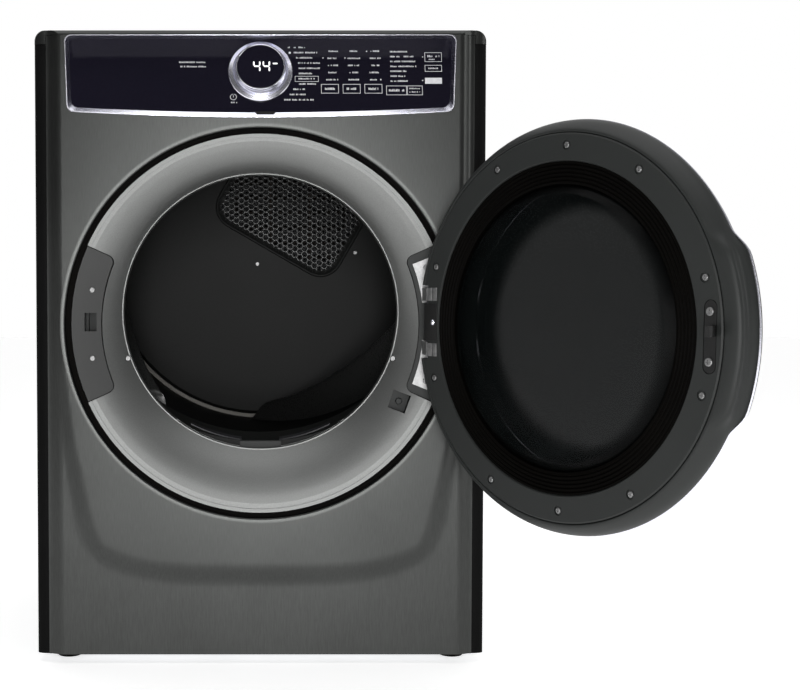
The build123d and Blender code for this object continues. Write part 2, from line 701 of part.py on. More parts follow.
def heating_element():
    """The coiled resistance wire of the heater, laid as a ladder of round bars."""
    bars = []
    for k in range(7):
        z = 640 + 30 * k
        bars.append(Pos(60, 290, z) * Rot(0, 90, 0) * Cylinder(4, 220))
    for k in range(6):
        x = 170 if k % 2 == 0 else -50
        bars.append(post(4, 640 + 30 * k, 670 + 30 * k, x, 290))
    mounts = [slab(18, 24, 280, 326.8, 632, 836), slab(96, 102, 280, 326.8, 632, 836)]
    return fuse(bars + mounts)


def thermostats():
    """Two round safety thermostats on the heater duct."""
    discs = []
    for z in (700, 760):
        disc = Pos(205 + 5, 300, z) * Rot(0, 90, 0) * Cylinder(12, 9.8)
        discs.append(disc)
    return discs


def roller_place(side):
    """Where a drum support roller turns: below the drum, left or right."""
    reach = DRUM_R + GAP + ROLLER_R
    x = side * reach * math.sin(math.radians(ROLLER_ANGLE))
    z = DRUM_Z - reach * math.cos(math.radians(ROLLER_ANGLE))
    return x, z


def roller(side):
    """A rubber-tyred support roller."""
    x, z = roller_place(side)
    wheel = tube(ROLLER_R, 8.05, ROLLER_Y - 11, ROLLER_Y + 11, x, z)
    wheel = wheel - tube(29, 16, ROLLER_Y - 12, ROLLER_Y - 5, x, z) - tube(29, 16, ROLLER_Y + 5,
            ROLLER_Y + 12, x, z)
    return wheel


def roller_shafts():
    """The fixed shafts of both rollers, headed at the front, on the rear bulkhead."""
    shafts = []
    for side in (-1, 1):
        x, z = roller_place(side)
        shaft = rod(8, ROLLER_Y - 15, BULKHEAD_REAR_Y, x, z) + rod(11, ROLLER_Y - 18, ROLLER_Y - 13, x, z)
        shafts.append(shaft + rod(11, ROLLER_Y + 13, BULKHEAD_REAR_Y, x, z))
    return shafts


# ---------------- drive and air ----------------


def belt_circles(grow):
    """The drum, motor pulley and idler as the belt sees them, grown by a margin."""
    return [
        (DRUM_R + grow, 0, DRUM_Z),
        (PULLEY_R + grow, MOTOR_X, MOTOR_Z),
        (IDLER_R + grow, IDLER_X, IDLER_Z),
    ]


def belt_loop(grow):
    """The taut outline round the three circles, as a face in the belt's plane."""
    plane = Plane((0, BELT_Y - BELT_WIDTH / 2, 0), x_dir=(1, 0, 0), z_dir=(0, -1, 0))
    edges = []
    for radius, x, z in belt_circles(grow):
        edges += (Pos(x, z) * Circle(radius)).edges()
    return plane * make_hull(edges)


def drum_belt():
    """The flat drive belt round the drum, the motor pulley and the idler."""
    outer = extrude(belt_loop(GAP + BELT_THICK), amount=BELT_WIDTH, dir=(0, 1, 0))
    inner = extrude(belt_loop(GAP), amount=BELT_WIDTH, dir=(0, 1, 0))
    return outer - inner


def motor_body():
    """The motor's casing with two bearing ends."""
    case = tube(60, 9, -150, 90, MOTOR_X, MOTOR_Z)
    case = fillet(case.edges().filter_by(GeomType.CIRCLE).filter_by(lambda e: e.radius > 59), 8)
    case = case - rod(55, -142, 82, MOTOR_X, MOTOR_Z)
    bearings = tube(16, SHAFT_R + 0.05, -156, -148, MOTOR_X, MOTOR_Z) + tube(16, SHAFT_R + 0.05, 88,
            95, MOTOR_X, MOTOR_Z)
    return case + bearings


def motor_rotor():
    """The motor's shaft with its rotor core and the small belt pulley."""
    shaft = rod(SHAFT_R, WHEEL_Y0 - 6, 140, MOTOR_X, MOTOR_Z)
    core = rod(38, -110, 50, MOTOR_X, MOTOR_Z)
    pulley = turned([
        (0, BELT_Y - 9), (PULLEY_R + 4, BELT_Y - 9), (PULLEY_R + 4, BELT_Y - 6), (PULLEY_R, BELT_Y - 5),
        (PULLEY_R, BELT_Y + 5), (PULLEY_R + 4, BELT_Y + 6), (PULLEY_R + 4, BELT_Y + 9), (0, BELT_Y + 9),
    ], MOTOR_X, MOTOR_Z)
    return shaft + core + pulley


def motor_bracket():
    """The cradle that holds the motor on the base pan, with the idler's post."""
    floor = slab(MOTOR_X - 62, MOTOR_X + 62, -148, 88, BASE_Z + SHEET, BASE_Z + SHEET + 2.5)
    cheeks = []
    for y in (-120, 60):
        cheek = slab(MOTOR_X - 50, MOTOR_X + 50, y, y + 3, BASE_Z + SHEET + 2, MOTOR_Z - 20)
        cheeks.append(cheek - rod(60, y - 5, y + 8, MOTOR_X, MOTOR_Z))
    stand_y = IDLER_ARM_Y - 3.5
    stand = slab(IDLER_PIVOT_X - 18, IDLER_PIVOT_X + 18, stand_y, stand_y + 3, BASE_Z + SHEET,
            IDLER_PIVOT_Z + 14)
    foot = slab(IDLER_PIVOT_X - 18, IDLER_PIVOT_X + 18, 80, stand_y + 3, BASE_Z + SHEET,
            BASE_Z + SHEET + 2.5)
    pivot = rod(5, stand_y + 1, IDLER_ARM_Y + 20, IDLER_PIVOT_X, IDLER_PIVOT_Z)
    return fuse([floor] + cheeks + [foot, stand, pivot])


def idler_arm():
    """The sprung arm that presses the idler into the belt's loop."""
    y0 = IDLER_ARM_Y
    run = math.hypot(IDLER_X - IDLER_PIVOT_X, IDLER_Z - IDLER_PIVOT_Z)
    slope = math.degrees(math.atan2(IDLER_Z - IDLER_PIVOT_Z, IDLER_X - IDLER_PIVOT_X))
    middle = ((IDLER_X + IDLER_PIVOT_X) / 2, y0 + 2, (IDLER_Z + IDLER_PIVOT_Z) / 2)
    bar = Pos(*middle) * Rot(0, -slope, 0) * Box(run, 4, 18)
    ends = rod(13, y0, y0 + 12, IDLER_PIVOT_X, IDLER_PIVOT_Z) + rod(12, y0, y0 + 4, IDLER_X, IDLER_Z)
    axle = rod(5, y0, BELT_Y + 12, IDLER_X, IDLER_Z) + rod(8, BELT_Y + 9.5, BELT_Y + 12, IDLER_X, IDLER_Z)
    return bar + ends + axle - rod(5.05, y0 - 5, y0 + 30, IDLER_PIVOT_X, IDLER_PIVOT_Z)


def idler_pulley():
    """The free-running idler."""
    wheel = turned([
        (5.05, BELT_Y - 8), (IDLER_R + 4, BELT_Y - 8), (IDLER_R + 4, BELT_Y - 6), (IDLER_R, BELT_Y - 5),
        (IDLER_R, BELT_Y + 5), (IDLER_R + 4, BELT_Y + 6), (IDLER_R + 4, BELT_Y + 8), (5.05, BELT_Y + 8),
    ], IDLER_X, IDLER_Z)
    return wheel


def blower_wheel():
    """The squirrel-cage wheel on the front of the motor shaft."""
    disc = rod(WHEEL_R, WHEEL_Y1 - 2, WHEEL_Y1, MOTOR_X, MOTOR_Z)
    hub = rod(16, WHEEL_Y0 + 10, WHEEL_Y1, MOTOR_X, MOTOR_Z)
    rim = tube(WHEEL_R, WHEEL_R - 14, WHEEL_Y0, WHEEL_Y0 + 2, MOTOR_X, MOTOR_Z)
    blade = slab(WHEEL_R - 13, WHEEL_R - 1, WHEEL_Y0 + 1, WHEEL_Y1 - 1, -0.8, 0.8)
    count = 24
    blades = [Pos(MOTOR_X, 0, MOTOR_Z) * Rot(0, 360 / count * k, 0) * blade for k in range(count)]
    bore = rod(SHAFT_R, WHEEL_Y0 - 5, WHEEL_Y1 + 5, MOTOR_X, MOTOR_Z)
    return fuse([disc, hub, rim] + blades) - bore


def blower_housing():
    """The volute round the wheel, its outlet to the left."""
    y0 = WHEEL_Y0 - 4
    y1 = WHEEL_Y1 + 12
    outer = rod(93, y0, y1, MOTOR_X, MOTOR_Z) + slab(DUCT_X + 50.8, MOTOR_X, y0, y1, 19, 119)
    inner = rod(91, y0 + 2, y1 - 2, MOTOR_X, MOTOR_Z) + slab(DUCT_X + 40, MOTOR_X, y0 + 2, y1 - 2, 21, 117)
    inlet = rod(46, y0 - 5, y0 + 5, MOTOR_X, MOTOR_Z)
    shaft_hole = rod(SHAFT_R + 3, y1 - 5, y1 + 5, MOTOR_X, MOTOR_Z)
    return outer - inner - inlet - shaft_hole


def exhaust_duct():
    """The elbow box from the volute and the round duct that leaves through the back."""
    y0 = WHEEL_Y0 - 4
    y1 = WHEEL_Y1 + 12
    elbow = slab(DUCT_X - 55, DUCT_X + 50.6, y0 - 2, y1 + 16, 19, 137)
    hollow = slab(DUCT_X - 53, DUCT_X + 48.6, y0, y1 + 14, 21, 135)
    port = slab(DUCT_X + 45, DUCT_X + 55, y0 + 2, y1 - 2, 21, 117)
    pipe = tube(DUCT_R + 0.6, DUCT_R - DUCT_WALL, y1 + 15, COLLAR_Y, DUCT_X, DUCT_Z)
    collar = tube(DUCT_R, DUCT_R - DUCT_WALL, COLLAR_Y - 1, DUCT_END_Y, DUCT_X, DUCT_Z)
    mouth = rod(DUCT_R - DUCT_WALL, y1 + 8, y1 + 25, DUCT_X, DUCT_Z)
    return elbow - hollow - port - mouth + pipe + collar


def drum_light():
    """The small lamp lens high on the front bulkhead."""
    lens = rod(16, BULKHEAD_FRONT_Y + SHEET, BULKHEAD_FRONT_Y + 9, 150, 800)
    return fillet(lens.edges().sort_by(Axis.Y)[-1], 4)


# ---------------- door switch ----------------


def switch_body():
    """The door switch: a small tilted plate with a guide for its plunger."""
    plate = slab(-13, 13, SWITCH_Y - 1.5, SWITCH_Y + 18, -14, 14)
    plate = fillet(plate.edges().filter_by(Axis.Y), 3)
    tilted = Rot(0, 20, 0) * plate
    return Pos(SWITCH_X, 0, SWITCH_Z) * tilted - rod(5.3, SWITCH_Y - 5, SWITCH_Y + 14, SWITCH_X, SWITCH_Z)


def switch_plunger():
    """The round plunger the shut door presses in."""
    pin = rod(5.0, SWITCH_Y - 6, SWITCH_Y + 6, SWITCH_X, SWITCH_Z)
    return fillet(pin.edges().sort_by(Axis.Y)[0], 1.5)


# ---------------- hinge ----------------


def hinge_wings():
    """Two zinc plates screwed in the hinge pocket, each folded out to a barrel on the hinge line."""
    wings = []
    for (z0, z1), side in ((KNUCKLE_TOP, 1), (KNUCKLE_LOW, -1)):
        plate = sector(249, 280, side * 14.5, 7.0, FRONT_Y - 2, OPENING_Y, RING_Z)
        cone = revolve(make_face(Polyline(
            (SEGMENT_R - 5, FRONT_Y + 12.2), (RING_R + 5, FRONT_Y + 3.2),
            (RING_R + 5, FRONT_Y + 5.4), (SEGMENT_R - 5, FRONT_Y + 14.4), close=True)), Axis.Y)
        leaf = plate & (Pos(0, 0, RING_Z) * cone)
        arm = slab(HINGE_X - 12, HINGE_X - 6, HINGE_Y, FRONT_Y + 11, z0, z1)
        bridge = slab(HINGE_X - 12, HINGE_X + 4, FRONT_Y + 6, FRONT_Y + 12, z0 - 2, z1 + 2)
        barrel = post(KNUCKLE_R, z0, z1, HINGE_X, HINGE_Y)
        web = slab(HINGE_X - 12, HINGE_X, HINGE_Y - KNUCKLE_R, HINGE_Y + KNUCKLE_R, z0, z1)
        wing = leaf + bridge + arm + barrel + web - post(PIN_R, z0 - 5, z1 + 5, HINGE_X, HINGE_Y)
        wings.append(wing - hinge_screw_holes())
    return wings


def hinge_pins():
    """The two hinge pins, pressed into the cabinet's barrels and running in the door's tab."""
    top = post(PIN_R, KNUCKLE_TOP[0] - 16, KNUCKLE_TOP[1] + 2, HINGE_X, HINGE_Y)
    low = post(PIN_R, KNUCKLE_LOW[0] - 2, KNUCKLE_LOW[1] + 16, HINGE_X, HINGE_Y)
    return [top, low]


def hinge_screw_spots():
    """Where the two hinge plates are screwed down, as (x, z)."""
    spots = []
    for side in (-1, 1):
        x, rise = polar(266, side * 19.0)
        spots.append((x, RING_Z + rise))
    return spots


def hinge_screw_holes():
    """The holes for the hinge screws."""
    return fuse([rod(2.2, FRONT_Y, OPENING_Y, x, z) for x, z in hinge_screw_spots()])


def hinge_screws():
    """The screws through the two hinge plates."""
    return [screw(x, FRONT_Y + 6.2, z) for x, z in hinge_screw_spots()]


# ---------------- door ----------------


def swing(solid):
    """Swing a piece of the shut door out to where the door rests, open."""
    return Pos(HINGE_X, HINGE_Y, 0) * Rot(0, 0, OPEN_ANGLE) * Pos(-HINGE_X, -HINGE_Y, 0) * solid


def door_point(radius, degrees):
    """A point on the shut door's face; 0 degrees is the handle side, 180 the hinge side."""
    angle = math.radians(degrees - DOOR_CLOCK)
    return (-radius * math.cos(angle), RING_Z + radius * math.sin(angle))


def turned_door(points):
    """A turned piece of the door from (radius, depth out of the inside face) points."""
    return turned([(r, DOOR_FACE_Y - t) for r, t in points], 0, RING_Z)


def hinge_notch():
    """The room the hinge barrels need at the door's edge."""
    return slab(HINGE_X - 17, HINGE_X + 40, HINGE_Y - 32, DOOR_FACE_Y + 5, KNUCKLE_LOW[0] - 4,
            KNUCKLE_TOP[1] + 4)


def handle_bulge():
    """The swelling of the door's edge that the hand takes hold of."""
    angles = [-25 + 50 * k / 10 for k in range(11)]
    outer = []
    for a in angles:
        reach = DOOR_R - 1 + 13 * math.cos(math.radians(a * 3.6))
        x, z = polar(reach, 180 + a)
        outer.append((x, DOOR_FACE_Y - 12, z + RING_Z))
    inner = [(x * 0.84, y, RING_Z + (z - RING_Z) * 0.84) for x, y, z in (outer[0], outer[-1])]
    edge = Spline(*outer)
    face = make_face([edge, Line(outer[-1], inner[-1]), Line(inner[-1], inner[0]),
            Line(inner[0], outer[0])])
    return extrude(face, amount=34, dir=(0, -1, 0))


def door_shell():
    """The outer door moulding: flared side, rounded front, window hole, grip on the latch side."""
    outside = turned_door([
        (258, 0.6), (DOOR_R - 4, 14), (DOOR_R, 22), (DOOR_R - 2, 34), (262, 48), (244, 58),
        (222, 64), (204, 65),
        (204, 61), (221, 60), (241, 54.5), (258.5, 45), (DOOR_R - 6, 32.5), (DOOR_R - 4, 22),
        (DOOR_R - 7.5, 16),
        (257.5, 4),
    ])
    bulge = handle_bulge()
    inside = turned_door([(200, 3), (257, 3), (DOOR_R - 4, 22), (DOOR_R - 7, 34), (256, 46),
            (238, 54), (200, 58)])
    grip = turned_door([(DOOR_R - 6, 20), (DOOR_R + 20, 20), (DOOR_R + 20, 36), (DOOR_R - 6, 36)])
    grip = grip & slab(-400, 0, -600, -300, RING_Z - 70, RING_Z + 70)
    pocket = Pos(12, 6, 0) * (bulge & grip)
    return swing(outside + (bulge - inside - pocket) - hinge_notch())


def door_trim_ring():
    """The bright ring round the outer window."""
    return swing(turned_door([(203.7, 60), (203.7, 67), (199, 68.5), (190, 66.5), (190, 63),
            (198, 64), (199.5, 60)]))


def door_lens():
    """The tinted outer window, slightly domed."""
    return swing(turned_door([(0, 71), (80, 70), (150, 66.8), (197, 60.2), (197, 57), (150, 62.8),
            (80, 66), (0, 67)]))


def door_inner_panel():
    """The moulded inside of the door with its screw dimples, striker recess and window hole."""
    panel = turned_door([
        (PANEL_IN_R - 1, 3), (PANEL_IN_R, 0.6), (PANEL_IN_R + 1, 0), (PANEL_R - 2, 0),
        (PANEL_R, 1.2), (PANEL_R, 3.4),
        (PANEL_R - 3, 3.4), (PANEL_IN_R + 2, 3.4), (PANEL_IN_R + 2, 30), (PANEL_IN_R - 1, 30),
    ])
    for angle in SCREW_ANGLES:
        x, z = door_point(SCREW_R, angle)
        panel = panel - rod(6.5, DOOR_FACE_Y - 1.6, DOOR_FACE_Y + 5, x, z) - rod(2, DOOR_FACE_Y - 9,
                DOOR_FACE_Y, x, z)
    tilt = Pos(0, 0, RING_Z) * Rot(0, -DOOR_CLOCK, 0) * Pos(0, 0, -RING_Z)
    recess = slab(-248, -230, DOOR_FACE_Y - 2.4, DOOR_FACE_Y + 5, RING_Z - 44, RING_Z + 44)
    recess = fillet(recess.edges().filter_by(Axis.Y), 8.9)
    for angle in STRIKER_ANGLES:
        x, z = door_point(SCREW_R, angle)
        panel = panel - rod(2.6, DOOR_FACE_Y - 9, DOOR_FACE_Y, x, z)
    return swing(panel - tilt * recess - hinge_notch())


def door_screws():
    """The screws that hold the door's inner panel to its shell."""
    screws = []
    for angle in SCREW_ANGLES:
        x, z = door_point(SCREW_R, angle)
        upright = screw(0, 0, 0, 4.0, 9)
        screws.append(swing(Pos(x, DOOR_FACE_Y - 1.6, z) * Rot(0, 0, 180) * upright))
    return screws


def door_striker():
    """The black striker plate with its hook, and the two screws that hold it."""
    tilt = Pos(0, 0, RING_Z) * Rot(0, -DOOR_CLOCK, 0) * Pos(0, 0, -RING_Z)
    plate = slab(-247, -231, DOOR_FACE_Y - 2.3, DOOR_FACE_Y - 0.4, RING_Z - 43, RING_Z + 43)
    plate = fillet(plate.edges().filter_by(Axis.Y), 7.9)
    plate = tilt * plate + striker_hook()
    for angle in STRIKER_ANGLES:
        x, z = door_point(SCREW_R, angle)
        plate = plate - rod(2.6, DOOR_FACE_Y - 9, DOOR_FACE_Y + 5, x, z)
    return swing(plate)


def striker_hook():
    """The hook that enters the latch, leaning out from the plate to the slot."""
    points = [(-246, 0.0), (-240, 0.0), (-256, 31.0), (-256, 35.0), (-261.5, 33.0), (-261.5, 28.0)]
    face = make_face(Polyline(*[(x, DOOR_FACE_Y - 1 + y, RING_Z - 4) for x, y in points], close=True))
    return extrude(face, amount=13, dir=(0, 0, 1))


def striker_screws():
    """The two larger screws of the striker."""
    screws = []
    for angle in STRIKER_ANGLES:
        x, z = door_point(SCREW_R, angle)
        screws.append(swing(Pos(x, DOOR_FACE_Y - 0.38, z) * Rot(0, 0, 180) * screw(0, 0, 0, 5.2, 9)))
    return screws


def door_gasket():
    """The dark grooved ring between the inner panel and the glass."""
    points = [(PANEL_IN_R - 1.2, 2), (PANEL_IN_R - 1.2, 12), (GLASS_R + 1, 12), (GLASS_R + 1, 4)]
    for k in range(5):
        r = GLASS_R + 4 + 5.2 * k
        points += [(r, 3.2 - 0.3 * k), (r + 1.6, 5.0 - 0.3 * k), (r + 3.2, 3.0 - 0.3 * k)]
    return swing(turned_door(points))


def door_glass():
    """The inner glass, a shallow bowl standing a little into the drum opening."""
    outside = [(0, -22), (90, -20), (150, -13), (178, -3), (GLASS_R, 8), (GLASS_R + 0.4, 12.2),
        (GLASS_R + 8, 12.2), (GLASS_R + 8, 16.2)]
    inside = [(GLASS_R - 3, 16.2), (175, 3), (148, -8.5), (90, -15.5), (0, -17.5)]
    return swing(turned_door(outside + inside))


def door_knuckles():
    """The door's hinge tab, between the two barrels of the cabinet, on the door's edge."""
    low = KNUCKLE_LOW[1] + GAP
    high = KNUCKLE_TOP[0] - GAP
    barrel = post(KNUCKLE_R, low, high, HINGE_X, HINGE_Y)
    leaf = slab(HINGE_X - 32, HINGE_X - 4, HINGE_Y + 2, HINGE_Y + 7, low, high)
    root = slab(HINGE_X - 32, HINGE_X - 22, HINGE_Y + 2, DOOR_FACE_Y - 3.6, low, high)
    tab = barrel + leaf + root
    for z0, z1 in ((low - 1, low + 16.5), (high - 16.5, high + 1)):
        tab = tab - post(PIN_R + 0.05, z0, z1, HINGE_X, HINGE_Y)
    return swing(tab)


def write_all():
    """Write every piece of the dryer."""
    save("side_left", side_panel(-1))
    save("side_right", side_panel(1))
    save("top_panel", top_panel())
    save("front_panel", front_panel())
    save("recess_ring", recess_ring())
    save("door_ring", door_ring())
    save("latch_plate", latch_plate())
    save("latch_receptacle", latch_receptacle())
    save("hinge_pocket", hinge_pocket())
    save("cabinet_screws", *(cabinet_screws() + hinge_screws()))
    save("base_pan", base_pan())
    save("levelling_feet", *levelling_feet())
    save("rear_panel", rear_panel())
    save("terminal_cover", terminal_cover())
    save("console_trim", console_trim())
    save("console_face", console_face())
    save("console_housing", console_housing())
    save("control_board", control_board())
    save("dial_ring", dial_ring())
    save("display_disc", display_disc())
    save("front_bulkhead", front_bulkhead())
    save("front_felt", front_felt())
    save("rear_felt", rear_felt())
    save("lint_duct", lint_duct())
    save("lint_filter", lint_filter())
    save("lint_screen", *lint_screen())
    save("moisture_bars", *moisture_bars())
    save("drum_shell", drum_shell())
    save("drum_vanes", *[drum_vane(start) for start in (33, 153, 273)])
    save("rear_bulkhead", rear_bulkhead())
    save("inlet_grille", inlet_grille())
    save("heater_box", heater_box())
    save("heating_element", heating_element())
    save("thermostats", *thermostats())
    save("roller_left", roller(-1))
    save("roller_right", roller(1))
    save("roller_shafts", *roller_shafts())
    save("drum_belt", drum_belt())
    save("motor_body", motor_body())
    save("motor_rotor", motor_rotor())
    save("motor_bracket", motor_bracket())
    save("idler_arm", idler_arm())
    save("idler_pulley", idler_pulley())
    save("blower_wheel", blower_wheel())
    save("blower_housing", blower_housing())
    save("exhaust_duct", exhaust_duct())
    save("drum_light", drum_light())
    save("switch_body", switch_body())
    save("switch_plunger", switch_plunger())
    save("hinge_wings", *hinge_wings())
    save("hinge_pins", *hinge_pins())
    save("door_shell", door_shell())
    save("door_trim_ring", door_trim_ring())
    save("door_lens", door_lens())
    save("door_inner_panel", door_inner_panel())
    save("door_gasket", door_gasket())
    save("door_glass", door_glass())
    save("door_screws", *(door_screws() + striker_screws()))
    save("door_striker", door_striker())
    save("door_knuckles", door_knuckles())


write_all()
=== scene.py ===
import json
import math
import random

import bmesh
import bpy
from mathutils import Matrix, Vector


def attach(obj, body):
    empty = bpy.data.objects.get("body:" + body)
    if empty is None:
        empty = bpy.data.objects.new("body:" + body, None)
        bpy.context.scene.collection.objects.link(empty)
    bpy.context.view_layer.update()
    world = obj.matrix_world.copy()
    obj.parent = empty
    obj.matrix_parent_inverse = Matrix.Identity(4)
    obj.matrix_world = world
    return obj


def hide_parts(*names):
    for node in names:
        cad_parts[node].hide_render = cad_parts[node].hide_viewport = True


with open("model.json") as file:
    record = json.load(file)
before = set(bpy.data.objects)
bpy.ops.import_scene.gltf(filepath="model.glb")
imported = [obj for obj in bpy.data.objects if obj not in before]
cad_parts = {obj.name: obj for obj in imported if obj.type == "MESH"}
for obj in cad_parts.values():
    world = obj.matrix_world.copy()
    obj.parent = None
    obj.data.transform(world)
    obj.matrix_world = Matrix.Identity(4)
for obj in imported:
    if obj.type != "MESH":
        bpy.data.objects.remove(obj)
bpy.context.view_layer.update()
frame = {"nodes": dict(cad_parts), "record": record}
nodes = frame["nodes"]
random.seed(7)

# Sizes and places are in mm in the shared frame, unless a line says otherwise.
MM = 0.001
FRONT_Y = -360.0  # the raised front
SKIRT_Y = -350.0  # the edge where the front meets the side panels
SHEET = 1.2
PANEL_LOW = 14.0
PANEL_TOP = 957.0
PANEL_HALF = 324.5
PAD_FOOT = 137.0  # the height of the raised pad's foot in the middle
PAD_BOW = 35.0  # how much higher the foot is at PAD_BOW_X from the middle
PAD_BOW_X = 248.0
PAD_RISE = 34.0  # the height over which the foot rises
PAD_SHARE = 0.4  # the pad's share of the front's depth
ROUND_X = 321.0  # where the front has rounded back to the sides
ROUNDING = 16.0
RING_Z = 521.0
RECESS_R = 296.5
DRUM_Z = 634.0
DRUM_INNER = 310.0
VANE_STARTS = (33, 153, 273)  # degrees
VANE_TURN = 82.0  # degrees that a vane climbs from back to front
DOOR_R = 275.0
DOOR_FACE_Y = -368.0
HINGE_X = 258.4
HINGE_Y = -396.0
OPEN_ANGLE = 125.8  # degrees
GLASS_R = 192.0  # where the door glass has become opaque
GRIP_SWELL = 12.0
GRIP_HOLLOW = 7.0
GRIP_HALF = math.radians(27)  # half the angle that the handle spans
GRIP_FADE = math.radians(8)
LEAN = math.radians(16)
LEAN_Y = -358.5  # the foot of the leaning console glass
LEAN_Z = 836.0
PRINT_LOW = -0.32  # printed marks, out of the console's plane
PRINT_HIGH = -0.1
DISPLAY_LOW = 18.1
DISPLAY_HIGH = 18.35
GRILLE_X = 58.0
GRILLE_Z = 727.0
GRILLE_Y = 232.0
GRILLE_HALF = (137.5, 86.0)
GRILLE_CORNER = 45.0
GRILLE_TILT = math.radians(30)
GRILLE_PITCH = 11.0
FLOOR_HALF = 15  # metres

SIDES = 12  # sides of a round grille hole or indicator
# Heights on the front, each with half the width of the raised pad there.
PAD_EDGE = [(14, 205), (137, 240), (172, 253), (220, 270), (335, 292), (452, 305), (700, 318), (960, 319)]
# A block's faces, when its corners are the near four and then the far four.
BLOCK_FACES = [(0, 1, 2, 3), (7, 6, 5, 4), (0, 4, 5, 1), (1, 5, 6, 2), (2, 6, 7, 3), (3, 7, 4, 0)]


# ---------------- materials ----------------

def node(tree, kind, **inputs):
    """A new shader node with some of its inputs set by name."""
    made = tree.nodes.new(kind)
    for key, value in inputs.items():
        made.inputs[key].default_value = value
    return made


def math_node(tree, operation, factor):
    """A math node whose second input is a constant."""
    made = node(tree, "ShaderNodeMath")
    made.operation = operation
    made.inputs[1].default_value = factor
    return made


def range_node(tree, source, target, soft=False):
    """A map range node from one pair of limits to another."""
    made = node(tree, "ShaderNodeMapRange")
    if soft:
        made.interpolation_type = "SMOOTHSTEP"
    made.inputs["From Min"].default_value = source[0]
    made.inputs["From Max"].default_value = source[1]
    made.inputs["To Min"].default_value = target[0]
    made.inputs["To Max"].default_value = target[1]
    return made


def ramp_node(tree, low, high, ends=(0.0, 1.0)):
    """A colour ramp between two colours."""
    made = node(tree, "ShaderNodeValToRGB")
    for stop, position, color in zip(made.color_ramp.elements, ends, (low, high)):
        stop.position = position
        stop.color = (*color, 1)
    return made


def surface(name, low, high, metallic=0.0, roughness=(0.35, 0.5), grain=(200, 200, 200), blotch=6.0,
            bump=0.15, bump_mm=0.1, coat=0.0, shine=0.5):
    """A procedural finish: fine grain and broad blotches in colour and roughness, with a grain bump."""
    material = bpy.data.materials.new(name)
    material.use_nodes = True
    tree = material.node_tree
    shader = tree.nodes["Principled BSDF"]
    shader.inputs["Metallic"].default_value = metallic
    shader.inputs["Coat Weight"].default_value = coat
    shader.inputs["Coat Roughness"].default_value = 0.08
    shader.inputs["Specular IOR Level"].default_value = shine
    coord = node(tree, "ShaderNodeTexCoord")
    stretch = node(tree, "ShaderNodeMapping", Scale=grain)
    fine = node(tree, "ShaderNodeTexNoise", Scale=1.0, Detail=3.0, Roughness=0.6)
    broad = node(tree, "ShaderNodeTexNoise", Scale=blotch, Detail=2.0, Roughness=0.5)
    blend = math_node(tree, "MULTIPLY_ADD", 0.65)
    share = math_node(tree, "MULTIPLY", 0.35)
    ramp = ramp_node(tree, low, high, (0.3, 0.7))
    rough = range_node(tree, (0, 1), roughness)
    relief = node(tree, "ShaderNodeBump", Strength=bump, Distance=bump_mm * MM)
    link = tree.links.new
    link(coord.outputs["Object"], stretch.inputs["Vector"])
    link(stretch.outputs["Vector"], fine.inputs["Vector"])
    link(coord.outputs["Object"], broad.inputs["Vector"])
    link(broad.outputs["Fac"], share.inputs[0])
    link(fine.outputs["Fac"], blend.inputs[0])
    link(share.outputs[0], blend.inputs[2])
    link(blend.outputs[0], ramp.inputs["Fac"])
    link(ramp.outputs["Color"], shader.inputs["Base Color"])
    link(blend.outputs[0], rough.inputs["Value"])
    link(rough.outputs["Result"], shader.inputs["Roughness"])
    link(fine.outputs["Fac"], relief.inputs["Height"])
    link(relief.outputs["Normal"], shader.inputs["Normal"])
    return material


def glass_finish(name, middle, edge, centre, radius, alpha):
    """Dark glass: see-through in the middle, with a soft-edged opaque border. The middle's slightly lighter
    colour is painted light, for light seen through the glass.
    """
    material = surface(name, edge, edge, roughness=(0.2, 0.3), bump=0.02, shine=0.03)
    tree = material.node_tree
    shader = tree.nodes["Principled BSDF"]
    coord = node(tree, "ShaderNodeTexCoord")
    away = node(tree, "ShaderNodeVectorMath")
    away.operation = "DISTANCE"
    away.inputs[1].default_value = centre
    fade = range_node(tree, (radius * 0.85, radius), (0, 1), soft=True)
    ramp = ramp_node(tree, middle, edge)
    solid = range_node(tree, (0, 1), (alpha, 1.0))
    link = tree.links.new
    link(coord.outputs["Object"], away.inputs[0])
    link(away.outputs["Value"], fade.inputs["Value"])
    link(fade.outputs["Result"], ramp.inputs["Fac"])
    link(ramp.outputs["Color"], shader.inputs["Base Color"])
    link(fade.outputs["Result"], solid.inputs["Value"])
    link(solid.outputs["Result"], shader.inputs["Alpha"])
    return material


def glowing(material, strength):
    """The same finish, giving off white light."""
    shader = material.node_tree.nodes["Principled BSDF"]
    shader.inputs["Emission Color"].default_value = (1, 1, 1, 1)
    shader.inputs["Emission Strength"].default_value = strength
    return material


def swung(x, y, z):
    """A point of the shut door where the open door has it, in mm."""
    turn = math.radians(OPEN_ANGLE)
    dx = x - HINGE_X
    dy = y - HINGE_Y
    return (
        HINGE_X + dx * math.cos(turn) - dy * math.sin(turn),
        HINGE_Y + dx * math.sin(turn) + dy * math.cos(turn),
        z)


BRUSHED = (900, 900, 55)  # grain that runs up and down
FINE = (900, 900, 900)

